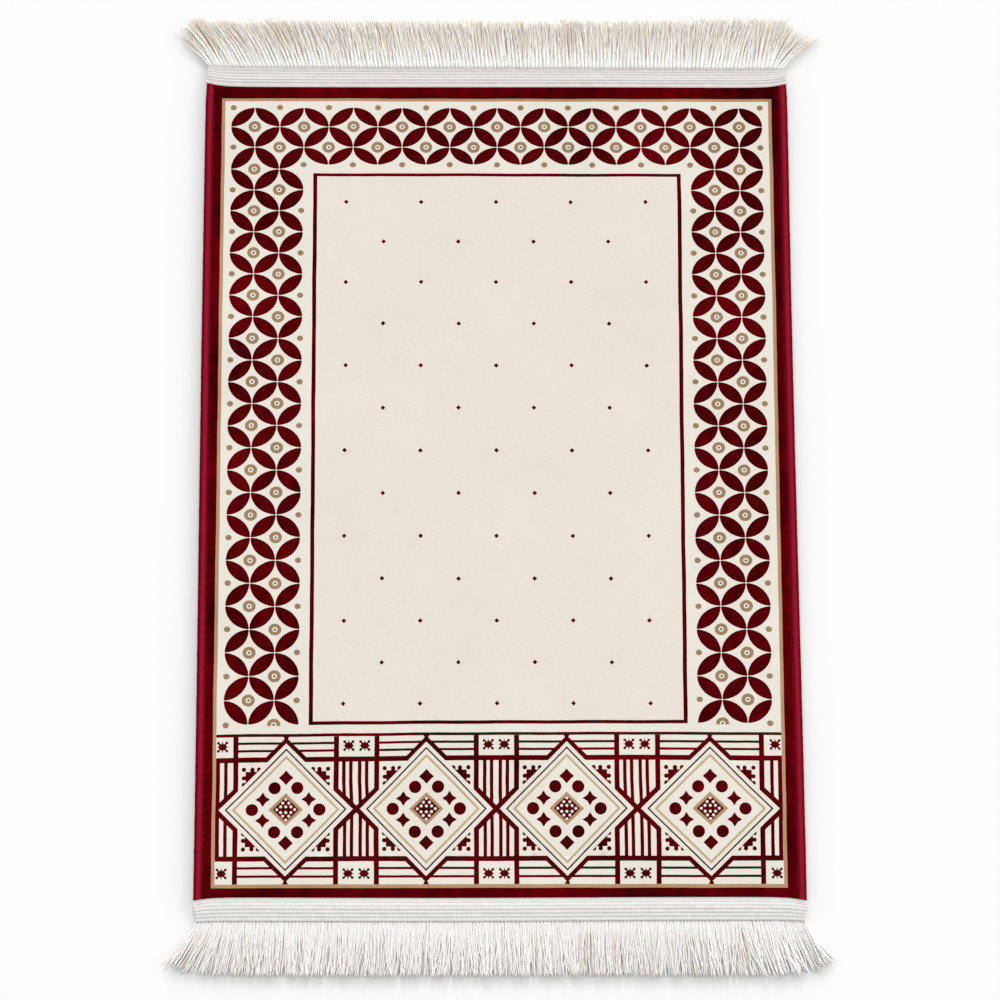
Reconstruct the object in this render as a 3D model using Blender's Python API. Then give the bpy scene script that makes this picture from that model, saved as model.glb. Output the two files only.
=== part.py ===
"""A velvet prayer rug lying flat: pile cloth, two whipped side bindings and a fringed header tape at each end.

Metres, +Z up. The rug rests on z = 0 with its long sides along Y and its far end at +Y.
"""

import math
import random
from collections import namedtuple

import bmesh
import bpy

# The cloth
RUG_WIDTH = 0.700  # across both side bindings
PILE_LENGTH = 0.965  # of pile that shows between the two header tapes
PILE_TOP = 0.0060  # ground weave and velvet pile together
PILE_RIM = 0.0008  # how far the pile's upper rim is rounded in
GAP = 0.0003  # between pieces that touch

# The side bindings: yarn whipped round the cloth's edge
BINDING_WIDTH = 0.0105
BINDING_TOP = 0.0066
SLOT_FLOOR = 0.0012  # underside of the slot that takes the cloth's edge
SLOT_ROOF = 0.0044
EDGE_DEPTH = 0.0070  # how far the cloth's edge reaches into the binding
SIDE_STEPS = 20

# The header tapes: the cloth's bare ground runs under their inner half
GROUND_TOP = 0.0020
GROUND_REACH = 0.0140
TAPE_GAP = 0.0004
TAPE_INNER_TOP = 0.0039
TAPE_OUTER_TOP = 0.0022
TAPE_LEVEL = 0.0120  # the tape is level this far out, then slopes down to the floor
TAPE_RIBS = 5
RIB_HEIGHT = 0.00045

# The fringes: each strand stands for one bunch of threads
STRANDS = 150  # on each tape
STRAND_LENGTH = 0.0640
LENGTH_SPREAD = 0.0030
ROOT_WIDTH = 0.0032
ROOT_HEIGHT = 0.0018
MIDDLE_WIDTH = 0.0032
MIDDLE_HEIGHT = 0.0025
TIP_WIDTH = 0.0020
TIP_HEIGHT = 0.0015
MIDDLE_LEAN = 0.36  # share of the tip's lean that the strand's middle has
CLUMP_LEAN = 0.0015  # neighbouring strands lean together in clumps
CLUMP_PITCH = 0.0290
FRINGE_SEED = 7
CORNER_STATIONS = (2, 5, 10)  # strands from a corner, where the tape's edge bends
STATION_STRANDS = 10  # strands between the stations in between

HALF_WIDTH = RUG_WIDTH / 2
HALF_LENGTH = PILE_LENGTH / 2
PILE_HALF_WIDTH = HALF_WIDTH - BINDING_WIDTH - GAP

# How each long edge strays from straight: waves along it, and a tuck at its far corner
Side = namedtuple("Side", "name sign wave period phase tuck")
SIDES = (
    Side("left", -1, 0.0003, 0.90, 0.6, 0.0013),
    Side("right", 1, 0.0007, 1.10, -2.4, 0.0013),
)
TUCK_REACH = 0.016

# How each end strays from straight, how wide its tape is at the left and right,
# how far the tape's ends slant in, and how its strands lean away from the corners
End = namedtuple(
    "End",
    "name sign wave period phase lift left_tape right_tape left_slant right_slant "
    "left_lean left_reach right_lean right_reach clump_phase",
)
ENDS = (
    End(
        name="far",
        sign=1,
        wave=0.0002,
        period=0.52,
        phase=0.4,
        lift=0.0034,
        left_tape=0.0248,
        right_tape=0.0222,
        left_slant=0.0030,
        right_slant=0.0050,
        left_lean=0.038,
        left_reach=0.110,
        right_lean=0.040,
        right_reach=0.090,
        clump_phase=0.0,
    ),
    End(
        name="near",
        sign=-1,
        wave=0.0004,
        period=0.60,
        phase=2.2,
        lift=0.0014,
        left_tape=0.0271,
        right_tape=0.0264,
        left_slant=0.0038,
        right_slant=0.0020,
        left_lean=0.036,
        left_reach=0.045,
        right_lean=0.036,
        right_reach=0.080,
        clump_phase=1.9,
    ),
)
LIFT_REACH = 0.012

# Linear colour, roughness and metallic value of each material
Finish = namedtuple("Finish", "name colour roughness metallic")
VELVET = Finish("crimson_velvet_pile", (0.115, 0.0025, 0.0055), 0.95, 0.0)
YARN = Finish("crimson_binding_yarn", (0.235, 0.0055, 0.0140), 0.55, 0.0)
COTTON = Finish("off_white_cotton", (0.790, 0.760, 0.700), 0.85, 0.0)


def clear_scene():
    """Removes the objects that the scene starts with."""
    for obj in list(bpy.data.objects):
        bpy.data.objects.remove(obj)


def material(finish):
    """A Principled material with this finish."""
    made = bpy.data.materials.get(finish.name) or bpy.data.materials.new(finish.name)
    made.use_nodes = True
    shader = made.node_tree.nodes["Principled BSDF"]
    shader.inputs["Base Color"].default_value = (*finish.colour, 1.0)
    shader.inputs["Roughness"].default_value = finish.roughness
    shader.inputs["Metallic"].default_value = finish.metallic
    made.diffuse_color = (*finish.colour, 1.0)
    return made


def object_from(bm, name, finish, smooth_angle=None):
    """Closes off a bmesh as a named object with its faces pointing out."""
    bmesh.ops.recalc_face_normals(bm, faces=bm.faces[:])
    mesh = bpy.data.meshes.new(name)
    bm.to_mesh(mesh)
    bm.free()
    mesh.materials.append(material(finish))
    if smooth_angle is not None:
        mesh.shade_smooth()
        mesh.set_sharp_from_angle(angle=smooth_angle)
    obj = bpy.data.objects.new(name, mesh)
    bpy.context.scene.collection.objects.link(obj)
    return obj


def side_shift(side, y):
    """How far outwards this long edge lies at y, from a straight edge."""
    wave = side.wave * math.sin(2 * math.pi * y / side.period + side.phase)
    return wave - side.tuck * math.exp((y - HALF_LENGTH) / TUCK_REACH)


def side_x(side, y, inset):
    """World x of a line that runs this far inside the rug's long edge."""
    return side.sign * (HALF_WIDTH - inset + side_shift(side, y))


def pile_end(end, x):
    """Distance from the rug's middle to the end of the pile at x, on this end."""
    wave = end.wave * math.sin(2 * math.pi * x / end.period + end.phase)
    lift = end.lift * math.exp(-max(HALF_WIDTH - abs(x), 0.0) / LIFT_REACH)
    return HALF_LENGTH + wave + lift


def side_stations():
    """The y values at which the long edges are worked out, closer near the far corners."""
    even = [-HALF_LENGTH + PILE_LENGTH * k / SIDE_STEPS for k in range(SIDE_STEPS + 1)]
    corner = [HALF_LENGTH - TUCK_REACH * share for share in (1.5, 0.6)]
    return sorted(even + corner)


def strand_stations():
    """How many strands lie left of each station of a tape."""
    first = CORNER_STATIONS[-1]
    middle = range(first, STRANDS - first + 1, STATION_STRANDS)
    right = [STRANDS - count for count in CORNER_STATIONS]
    return sorted({0, STRANDS, *CORNER_STATIONS, *middle, *right})


# A point of the pile's outline: the wall that runs from it to the next point, and which
# way the rounded rim moves in from it
EdgePoint = namedtuple("EdgePoint", "x y wall in_x in_y")


def corner_point(side, end, wall):
    """The corner of the pile where this long edge meets this end."""
    x = side_x(side, end.sign * HALF_LENGTH, HALF_WIDTH - PILE_HALF_WIDTH)
    return EdgePoint(x, end.sign * pile_end(end, x), wall, -side.sign, -end.sign)


def cloth_outline():
    """Points round the pile, anticlockwise from its near right corner."""
    left, right = SIDES
    far, near = ENDS
    inset = HALF_WIDTH - PILE_HALF_WIDTH
    pitch = RUG_WIDTH / STRANDS
    across = [-HALF_WIDTH + pitch * count for count in strand_stations()]
    across = [x for x in across if abs(x) < PILE_HALF_WIDTH - pitch]
    along = side_stations()[1:-1]
    outline = [corner_point(right, near, "side")]
    outline += [EdgePoint(side_x(right, y, inset), y, "side", -1, 0) for y in along]
    outline += [corner_point(right, far, "end")]
    outline += [EdgePoint(x, pile_end(far, x), "end", 0, -1) for x in reversed(across)]
    outline += [corner_point(left, far, "side")]
    outline += [EdgePoint(side_x(left, y, inset), y, "side", 1, 0) for y in reversed(along)]
    outline += [corner_point(left, near, "end")]
    outline += [EdgePoint(x, -pile_end(near, x), "end", 0, 1) for x in across]
    return outline


def push_out(bm, faces, distance, axis):
    """Extrudes these wall faces straight out along one axis, away from the middle."""
    made = bmesh.ops.extrude_face_region(bm, geom=faces)["geom"]
    bmesh.ops.delete(bm, geom=faces, context="FACES_ONLY")
    for vert in (item for item in made if isinstance(item, bmesh.types.BMVert)):
        vert.co[axis] += math.copysign(distance, vert.co[axis])


def build_cloth():
    """The pile cloth: bare edges go into the bindings, and bare ground goes under the tapes."""
    slot = (SLOT_FLOOR + GAP, SLOT_ROOF - GAP)
    levels = sorted({0.0, GROUND_TOP, *slot, PILE_TOP - PILE_RIM})
    outline = cloth_outline()
    bm = bmesh.new()
    rings = [[bm.verts.new((point.x, point.y, z)) for point in outline] for z in levels]
    rings.append(
        [
            bm.verts.new((p.x + PILE_RIM * p.in_x, p.y + PILE_RIM * p.in_y, PILE_TOP))
            for p in outline
        ]
    )
    walls = {"side": [], "end": []}
    for low, high, bottom, top in zip(rings, rings[1:], levels, levels[1:] + [PILE_TOP]):
        for k, point in enumerate(outline):
            after = (k + 1) % len(outline)
            face = bm.faces.new((low[k], low[after], high[after], high[k]))
            if point.wall == "side" and slot[0] <= bottom and top <= slot[1]:
                walls["side"].append(face)
            if point.wall == "end" and top <= GROUND_TOP:
                walls["end"].append(face)
    bm.faces.new(list(reversed(rings[0])))
    bm.faces.new(rings[-1])
    push_out(bm, walls["side"], EDGE_DEPTH, axis=0)
    push_out(bm, walls["end"], GROUND_REACH, axis=1)
    return object_from(bm, "rug_cloth", VELVET)


def binding_section():
    """(inset from the rug's edge, height) round a binding: a flattened roll with a slot on its inner side."""
    inner = BINDING_WIDTH
    slot_end = BINDING_WIDTH - EDGE_DEPTH - GAP
    return (
        (inner, 0.0),
        (0.0034, 0.0),
        (0.0013, 0.0007),
        (0.0002, 0.0022),
        (0.0000, 0.0038),
        (0.0008, 0.0053),
        (0.0027, 0.0063),
        (0.0052, BINDING_TOP),
        (0.0080, 0.0063),
        (inner - 0.0006, 0.0056),
        (inner, SLOT_ROOF),
        (slot_end, SLOT_ROOF),
        (slot_end, SLOT_FLOOR),
        (inner, SLOT_FLOOR),
    )


def build_binding(side):
    """One side binding, from tape to tape."""
    section = binding_section()
    stations = side_stations()
    bm = bmesh.new()
    rings = []
    for y in stations:
        ring = []
        for inset, z in section:
            x = side_x(side, y, inset)
            at_end = [end for end in ENDS if y == end.sign * HALF_LENGTH]
            end_y = at_end[0].sign * pile_end(at_end[0], x) if at_end else y
            ring.append(bm.verts.new((x, end_y, z)))
        rings.append(ring)
    count = len(section)
    for ring, after in zip(rings, rings[1:]):
        for k in range(count):
            turn = (k + 1) % count
            bm.faces.new((ring[k], ring[turn], after[turn], after[k]))
    bm.faces.new(rings[0])
    bm.faces.new(rings[-1])
    return object_from(bm, f"edge_binding_{side.name}", YARN, smooth_angle=math.radians(50))


def tape_width(end, share):
    """Width of this end's tape, share of the way from its left end to its right end."""
    return end.left_tape + (end.right_tape - end.left_tape) * share


def tape_point(end, share, out):
    """World (x, y) on a tape, this far out from the pile's end."""
    slope = max(out, 0.0) / tape_width(end, share)
    left = -HALF_WIDTH + end.left_slant * slope
    right = HALF_WIDTH - end.right_slant * slope
    x = left + (right - left) * share
    return x, end.sign * (pile_end(end, x) + out)


def tape_section(end, share):
    """(distance out from the pile's end, height) round a tape, from its inner underside to its ribbed top."""
    width = tape_width(end, share)
    ceiling = GROUND_TOP + GAP
    recess = GROUND_REACH + GAP
    section = [(TAPE_GAP, ceiling), (recess, ceiling), (recess, 0.0), (width, 0.0)]
    for k in range(2 * TAPE_RIBS, -1, -1):
        out = TAPE_GAP + (width - TAPE_GAP) * k / (2 * TAPE_RIBS)
        slope = max(out - TAPE_LEVEL, 0.0) / (width - TAPE_LEVEL)
        height = TAPE_INNER_TOP + (TAPE_OUTER_TOP - TAPE_INNER_TOP) * slope
        section.append((out, height + RIB_HEIGHT * (k % 2)))
    return section


def strand_lean(end, x):
    """How far sideways the tip of the strand at x leans."""
    left = end.left_lean * math.exp(-(x + HALF_WIDTH) / end.left_reach)
    right = end.right_lean * math.exp(-(HALF_WIDTH - x) / end.right_reach)
    clump = CLUMP_LEAN * math.sin(2 * math.pi * x / CLUMP_PITCH + end.clump_phase)
    return right - left + clump


def strand_ring(bm, centre, heading, width, height):
    """Three corners round a strand that lies on the floor: two on the floor and one above them."""
    across = (-heading[1] * width / 2, heading[0] * width / 2)
    x, y = centre
    return [
        bm.verts.new((x + across[0], y + across[1], 0.0)),
        bm.verts.new((x - across[0], y - across[1], 0.0)),
        bm.verts.new((x, y, height)),
    ]


def grow_strand(bm, end, root, centre, length):
    """Grows one strand out of its root triangle: it lies on the floor, bends sideways and tapers."""
    lean = strand_lean(end, centre[0])
    forward = math.sqrt(length**2 - lean**2)
    middle = (centre[0] + lean * MIDDLE_LEAN, centre[1] + end.sign * forward / 2)
    tip = (centre[0] + lean, centre[1] + end.sign * forward)
    rings = [root]
    for before, point, width, height in (
        (centre, middle, MIDDLE_WIDTH, MIDDLE_HEIGHT),
        (middle, tip, TIP_WIDTH, TIP_HEIGHT),
    ):
        run = (point[0] - before[0], (point[1] - before[1]) * end.sign)
        size = math.hypot(*run)
        ring = strand_ring(bm, point, (run[0] / size, run[1] / size), width, height)
        rings.append(ring)
    for ring, after in zip(rings, rings[1:]):
        for k in range(3):
            turn = (k + 1) % 3
            bm.faces.new((ring[k], ring[turn], after[turn], after[k]))
    bm.faces.new(rings[-1])


def strand_roots(bm, end, first, last, start, stop):
    """Root triangles on the tape's outer wall, for the strands first to last, between two stations."""
    roots = []
    for strand in range(first, last):
        share = (strand + 0.5 - first) / (last - first)
        half = ROOT_WIDTH / 2 / math.hypot(stop[0] - start[0], stop[1] - start[1])
        points = [
            [start[axis] + (stop[axis] - start[axis]) * (share + shift) for axis in (0, 1)]
            for shift in (-half, half, 0.0)
        ]
        heights = (0.0, 0.0, ROOT_HEIGHT)
        verts = [bm.verts.new((*point, z)) for point, z in zip(points, heights)]
        roots.append((verts, points[2]))
    return roots


def build_fringe(end):
    """One header tape with its strands, which are fused to its outer wall by their roots."""
    lengths = random.Random(FRINGE_SEED + end.sign)
    counts = strand_stations()
    bm = bmesh.new()
    rings = []
    for count in counts:
        share = count / STRANDS
        points = [(*tape_point(end, share, out), z) for out, z in tape_section(end, share)]
        rings.append([bm.verts.new(point) for point in points])
    size = len(rings[0])
    heel, toe, brow = 2, 3, 4  # the section's points where the floor, outer wall and top begin
    for first, last, ring, after in zip(counts, counts[1:], rings, rings[1:]):
        for k in [index for index in range(size) if index not in (heel, toe)]:
            turn = (k + 1) % size
            bm.faces.new((ring[k], ring[turn], after[turn], after[k]))
        roots = strand_roots(bm, end, first, last, ring[toe].co, after[toe].co)
        floor_line = [vert for verts, _ in roots for vert in verts[:2]]
        saw_line = [vert for verts, _ in roots for vert in (verts[0], verts[2], verts[1])]
        bm.faces.new([ring[heel], ring[toe], *floor_line, after[toe], after[heel]])
        bm.faces.new([ring[brow], ring[toe], *saw_line, after[toe], after[brow]])
        for verts, centre in roots:
            length = STRAND_LENGTH - lengths.random() * LENGTH_SPREAD
            grow_strand(bm, end, verts, centre, length)
    bm.faces.new(rings[0])
    bm.faces.new(rings[-1])
    return object_from(bm, f"fringe_{end.name}", COTTON)


def centre_on_floor(objects):
    """Moves the rug so that its box is centred on the origin and stands on z = 0."""
    corners = [vert.co for obj in objects for vert in obj.data.vertices]
    for axis in (0, 1):
        values = [corner[axis] for corner in corners]
        middle = (min(values) + max(values)) / 2
        for obj in objects:
            obj.location[axis] = -middle


def main():
    """Builds the rug's five pieces."""
    clear_scene()
    pieces = [build_cloth()]
    pieces += [build_binding(side) for side in SIDES]
    pieces += [build_fringe(end) for end in ENDS]
    centre_on_floor(pieces)


main()
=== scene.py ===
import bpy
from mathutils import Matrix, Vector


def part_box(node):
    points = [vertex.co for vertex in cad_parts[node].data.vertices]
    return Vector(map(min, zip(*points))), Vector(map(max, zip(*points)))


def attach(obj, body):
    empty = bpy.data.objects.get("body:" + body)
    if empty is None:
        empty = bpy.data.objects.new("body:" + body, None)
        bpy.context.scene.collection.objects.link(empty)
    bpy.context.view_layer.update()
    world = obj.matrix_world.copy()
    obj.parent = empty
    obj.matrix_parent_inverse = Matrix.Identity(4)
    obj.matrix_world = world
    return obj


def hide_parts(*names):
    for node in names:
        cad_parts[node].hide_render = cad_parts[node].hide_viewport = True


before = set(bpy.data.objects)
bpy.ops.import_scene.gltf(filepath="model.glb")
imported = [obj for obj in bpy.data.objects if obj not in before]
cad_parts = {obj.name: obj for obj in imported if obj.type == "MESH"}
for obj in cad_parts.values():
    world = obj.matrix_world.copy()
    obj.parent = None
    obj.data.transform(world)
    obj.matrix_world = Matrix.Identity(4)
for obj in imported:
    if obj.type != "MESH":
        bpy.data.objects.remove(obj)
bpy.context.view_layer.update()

# The looks of a velvet prayer rug that lies flat on the floor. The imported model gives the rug's outline, its
# heights and the outer edges of its header tapes. Around it this script builds the cut pile in its woven
# colours, the ground weave, the whipped edges, the ribbed header tapes and the fringes' threads, and dresses
# them in procedural materials. Lengths are metres, unless a name ends in _mm or a comment says millimetres.

import logging
import math
from dataclasses import dataclass, field, replace
from enum import Enum
from typing import Iterable

import bpy
import numpy as np
from mathutils import Matrix, Vector
from mathutils.geometry import delaunay_2d_cdt

LOG = logging.getLogger("prayer_rug")
MM = 0.001
Point = tuple[float, float]
Pair = tuple[float, float]
Triple = tuple[float, float, float]
Piece = bpy.types.Object
Material = bpy.types.Material
Tree = bpy.types.NodeTree
Socket = bpy.types.NodeSocket

TAPE_BROW = 2.2 * MM  # the height of a header tape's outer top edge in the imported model
HEIGHT_TOLERANCE = 0.02 * MM
GOLDEN_ANGLE = 2.399963  # turned by this, crossing waves never line up


class Yarn(Enum):
    """The pile's yarn colours, in the order in which their pieces are made."""

    CRIMSON = "crimson"
    CREAM = "cream"
    FIELD = "field_cream"
    TAN = "tan"
    BRONZE = "bronze"
    PLUM = "plum"
    SAND = "sand"


class End(Enum):
    """The rug's two ends, with the way that each one faces along Y."""

    FAR = 1
    NEAR = -1

    @property
    def node(self) -> str:
        """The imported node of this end's tape and fringe."""
        return f"fringe_{self.name.lower()}"


class Side(Enum):
    """The rug's two long edges, with the way that each one faces along X."""

    LEFT = -1
    RIGHT = 1

    @property
    def node(self) -> str:
        """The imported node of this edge's binding."""
        return f"edge_binding_{self.name.lower()}"


# ---- Small tools: colours, nodes, meshes and curves ----


def linear(hex_colour: str) -> tuple[float, float, float, float]:
    """Turns an sRGB hex colour into a linear one.

    Args:
        hex_colour: The colour as "#rrggbb".

    Returns:
        Linear red, green and blue, and an alpha of 1.
    """
    parts = [int(hex_colour[k : k + 2], 16) / 255 for k in (1, 3, 5)]
    lin = [c / 12.92 if c <= 0.04045 else ((c + 0.055) / 1.055) ** 2.4 for c in parts]
    return (lin[0], lin[1], lin[2], 1.0)


def add_node(
    tree: Tree,
    kind: str,
    settings: dict[str | int, object] | None = None,
    links: dict[str | int, Socket] | None = None,
) -> bpy.types.Node:
    """Adds one shader node with its settings and its incoming links.

    Args:
        tree: The material's or world's node tree.
        kind: The node's Blender type name.
        settings: Values by name. A name or number of an input sets that socket, and any other a property.
        links: The output socket that each named or numbered input reads.

    Returns:
        The new node.
    """
    node = tree.nodes.new(kind)
    for key, value in (settings or {}).items():
        if isinstance(key, int) or key in node.inputs:
            node.inputs[key].default_value = value
        else:
            setattr(node, key, value)
    for key, socket in (links or {}).items():
        tree.links.new(socket, node.inputs[key])
    return node


def blank_material(name: str) -> tuple[Material, Tree]:
    """Makes a material with an empty node tree.

    Args:
        name: The material's name.

    Returns:
        The material and its node tree.
    """
    material = bpy.data.materials.new(name)
    material.use_nodes = True
    material.node_tree.nodes.clear()
    return material, material.node_tree


def mesh_piece(
    name: str,
    points: np.ndarray,
    faces: Iterable[Iterable[int]],
    material: Material,
    sharp_deg: float = 180.0,
    tint: np.ndarray | None = None,
) -> Piece:
    """Makes a smooth-shaded mesh object and links it to the scene.

    Args:
        name: The piece's name.
        points: Its points, one row each.
        faces: Its faces, as point numbers.
        material: The material that dresses it.
        sharp_deg: The angle past which an edge is drawn sharp.
        tint: One number for each point, which the material reads as how far its colour turns.

    Returns:
        The new object.
    """
    mesh = bpy.data.meshes.new(name)
    mesh.from_pydata(points.tolist(), [], [list(face) for face in faces])
    if tint is not None:
        mesh.attributes.new("tint", "FLOAT", "POINT").data.foreach_set("value", tint.astype(float))
    mesh.shade_smooth()
    if sharp_deg < 180.0:
        mesh.set_sharp_from_angle(angle=math.radians(sharp_deg))
    mesh.materials.append(material)
    piece = bpy.data.objects.new(name, mesh)
    bpy.context.scene.collection.objects.link(piece)
    return piece


def settle(piece: Piece, node: str) -> Piece:
    """Rides a finished piece on the rug's body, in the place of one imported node.

    Args:
        piece: The piece.
        node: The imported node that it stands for.

    Returns:
        The same piece.
    """
    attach(piece, "root")
    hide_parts(node)
    LOG.info("%s: %d faces", piece.name, len(piece.data.polygons))
    return piece


def tube_faces(sides: int, steps: int) -> list[tuple[int, ...]]:
    """The faces of a closed tube whose points run ring by ring.

    Args:
        sides: Points in each ring.
        steps: Steps from the first ring to the last.

    Returns:
        The side faces and the two end faces.
    """
    faces: list[tuple[int, ...]] = []
    for ring in range(steps):
        start = ring * sides
        for k in range(sides):
            after = (k + 1) % sides
            faces.append((start + k, start + after, start + sides + after, start + sides + k))
    faces.append(tuple(range(sides - 1, -1, -1)))
    faces.append(tuple(range(steps * sides, (steps + 1) * sides)))
    return faces


def node_points(name: str) -> np.ndarray:
    """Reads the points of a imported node.

    Args:
        name: The node's name.

    Returns:
        Its points without repeats, one row each.
    """
    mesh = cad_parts[name].data
    flat = np.empty(len(mesh.vertices) * 3)
    mesh.vertices.foreach_get("co", flat)
    return np.unique(flat.reshape(-1, 3).round(6), axis=0)


def at_height(points: np.ndarray, height: float) -> np.ndarray:
    """Picks the points that lie at one height, from left to right.

    Args:
        points: The points, one row each.
        height: The height to look for.

    Returns:
        The picked rows, sorted along X.
    """
    picked = points[np.abs(points[:, 2] - height) < HEIGHT_TOLERANCE]
    return picked[np.argsort(picked[:, 0])]


def smooth_through(stations: np.ndarray, values: np.ndarray, at: np.ndarray) -> np.ndarray:
    """Reads a smooth curve that runs through the given values, and runs straight on past their ends.

    Args:
        stations: Where the values are known, in rising order.
        values: The known values.
        at: Where the curve is read.

    Returns:
        The curve's values there.
    """
    at = np.asarray(at, float)
    slopes = np.gradient(values, stations)
    inside = np.clip(at, stations[0], stations[-1])
    k = np.clip(np.searchsorted(stations, inside) - 1, 0, len(stations) - 2)
    span = stations[k + 1] - stations[k]
    t = (inside - stations[k]) / span
    bend_in = (2 * t**3 - 3 * t**2 + 1) * values[k] + (t**3 - 2 * t**2 + t) * span * slopes[k]
    bend_out = (3 * t**2 - 2 * t**3) * values[k + 1] + (t**3 - t**2) * span * slopes[k + 1]
    past = (at - inside) * np.where(at < inside, slopes[0], slopes[-1])
    return bend_in + bend_out + past


def ripple(x: np.ndarray, y: np.ndarray, length: float, seed: float) -> np.ndarray:
    """A smooth uneven field from -1 to 1, made of crossing waves.

    Args:
        x: Places along X.
        y: Places along Y.
        length: The waves' rough length.
        seed: Any number: each one gives another field.

    Returns:
        The field's value at each place.
    """
    total = np.zeros(np.broadcast(x, y).shape)
    for k in range(5):
        turn = seed * 1.7 + k * GOLDEN_ANGLE
        reach = 2 * math.pi / length * (0.7 + 0.21 * k)
        total = total + np.sin(reach * (np.cos(turn) * x + np.sin(turn) * y) + seed * (k + 1.3))
    return total / 5 * 1.6


# ---- Finishes ----


def soft_surface(
    tree: Tree,
    shades: tuple[str, str],
    share: Socket,
    roughness: float,
    specular: float,
    height: Socket | None = None,
    relief_mm: float = 0.0,
    strength: float = 0.0,
) -> None:
    """Ends a material: a soft surface whose colour turns from one shade to another.

    Args:
        tree: The material's node tree.
        shades: The two shades, as sRGB hex.
        share: How far the colour has turned, from 0 to 1.
        roughness: The surface's roughness.
        specular: How strongly it shines, where 0.5 is a common gloss.
        height: What raises the surface's fine relief, if it has any.
        relief_mm: How deep the relief is.
        strength: How much of the relief shows.
    """
    pair = {"data_type": "RGBA", 6: linear(shades[0]), 7: linear(shades[1])}
    links = {"Base Color": add_node(tree, "ShaderNodeMix", pair, {0: share}).outputs[2]}
    if height is not None:
        depth = {"Strength": strength, "Distance": relief_mm * MM}
        links["Normal"] = add_node(tree, "ShaderNodeBump", depth, {"Height": height}).outputs["Normal"]
    look = {"Roughness": roughness, "Specular IOR Level": specular}
    shader = add_node(tree, "ShaderNodeBsdfPrincipled", look, links).outputs["BSDF"]
    add_node(tree, "ShaderNodeOutputMaterial", links={"Surface": shader})


@dataclass(frozen=True)
class VelvetPile:
    """Heat-set polyester velvet, cut pile: deep and matt, with faint patches of painted sheen where the tufts
    lean apart.

    The cut yarn ends scatter light, so the eye sees no highlight, only a fine speckle of tufts and a slow
    drift of light and dark where the pile was brushed one way or the other: that drift is painted sheen, mixed
    into the colour between a deep and a lit shade.
    """

    name: str
    deep: str
    lit: str
    tuft_mm: float = 2.2  # real tufts are about 1.3 mm apart: drawn coarser, so that they show
    tuft_share: float = 0.5
    # The brushed streaks and the broad patches are painted sheen: they turn the colour towards the lit shade.
    brushed_sheen_mm: float = 11.0
    brushed_sheen_share: float = 0.9
    brushed_sheen_stretch: float = 0.6  # the brushed patches run along the rug
    sheen_patch_mm: float = 130.0
    turn: Pair = (0.85, 1.55)  # the patterns' sums at which the pile is deep, and lit
    roughness: float = 0.95
    specular: float = 0.0  # the fibres' ends trap the light between them
    relief_mm: float = 0.3

    def material(self) -> Material:
        """Makes the material.

        Returns:
            The finished material.
        """
        material, tree = blank_material(f"velvet_cut_pile_{self.name}")
        place = add_node(tree, "ShaderNodeTexCoord").outputs["Object"]
        stretch = {"Scale": (1.0, self.brushed_sheen_stretch, 1.0)}
        along = add_node(tree, "ShaderNodeMapping", stretch, {"Vector": place}).outputs["Vector"]
        patterns = []
        for size_mm, detail, roughness, where in (
            (self.sheen_patch_mm, 1.0, 0.5, place),
            (self.brushed_sheen_mm, 3.0, 0.55, along),
            (self.tuft_mm, 2.0, 0.6, place),
        ):
            grain = {"Scale": 1 / (size_mm * MM), "Detail": detail, "Roughness": roughness}
            patterns.append(add_node(tree, "ShaderNodeTexNoise", grain, {"Vector": where}).outputs["Fac"])
        mix = patterns[0]
        for pattern, weight in zip(patterns[1:], (self.brushed_sheen_share, self.tuft_share)):
            sums = {"operation": "MULTIPLY_ADD", 1: weight}
            mix = add_node(tree, "ShaderNodeMath", sums, {0: pattern, 2: mix}).outputs["Value"]
        span = {"From Min": self.turn[0], "From Max": self.turn[1]}
        share = add_node(tree, "ShaderNodeMapRange", span, {"Value": mix}).outputs["Result"]
        look = (self.roughness, self.specular, patterns[-1], self.relief_mm, 0.6)
        soft_surface(tree, (self.deep, self.lit), share, *look)
        return material


@dataclass(frozen=True)
class TintedYarn:
    """Spun or filament yarn, whose colour turns from one shade to another by the mesh's tint.

    The colour turns where the mesh's tint says: a painted highlight along the crest of a whipped edge,
    painted shade in the grooves of a woven tape and over parts of it, and painted warm shade in a fringe's
    depths.
    """

    name: str
    plain: str
    tinted: str
    roughness: float
    fibre_mm: float  # real fibres are far finer: drawn as coarse as they need to show
    fibre_relief_mm: float = 0.12
    fibre_share: float = 0.25
    stretch: Triple = (1.0, 1.0, 1.0)
    specular: float = 0.25

    def material(self) -> Material:
        """Makes the material.

        Returns:
            The finished material.
        """
        material, tree = blank_material(self.name)
        place = add_node(tree, "ShaderNodeTexCoord").outputs["Object"]
        drawn = add_node(tree, "ShaderNodeMapping", {"Scale": self.stretch}, {"Vector": place}).outputs[0]
        grain = {"Scale": 1 / (self.fibre_mm * MM), "Detail": 2.0, "Roughness": 0.6}
        fibres = add_node(tree, "ShaderNodeTexNoise", grain, {"Vector": drawn}).outputs["Fac"]
        # The tint: painted highlight on a whipped edge's crest, painted shade on a tape, painted warm shade in a
        # fringe.
        tint = add_node(tree, "ShaderNodeAttribute", {"attribute_name": "tint"}).outputs["Fac"]
        span = {"From Min": 0.3, "From Max": 0.7, "To Min": -self.fibre_share, "To Max": self.fibre_share}
        spread = add_node(tree, "ShaderNodeMapRange", span, {"Value": fibres}).outputs["Result"]
        sums = {"operation": "ADD", "use_clamp": True}
        share = add_node(tree, "ShaderNodeMath", sums, {0: tint, 1: spread}).outputs["Value"]
        look = (self.roughness, self.specular, fibres, self.fibre_relief_mm, 0.5)
        soft_surface(tree, (self.plain, self.tinted), share, *look)
        return material


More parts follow.
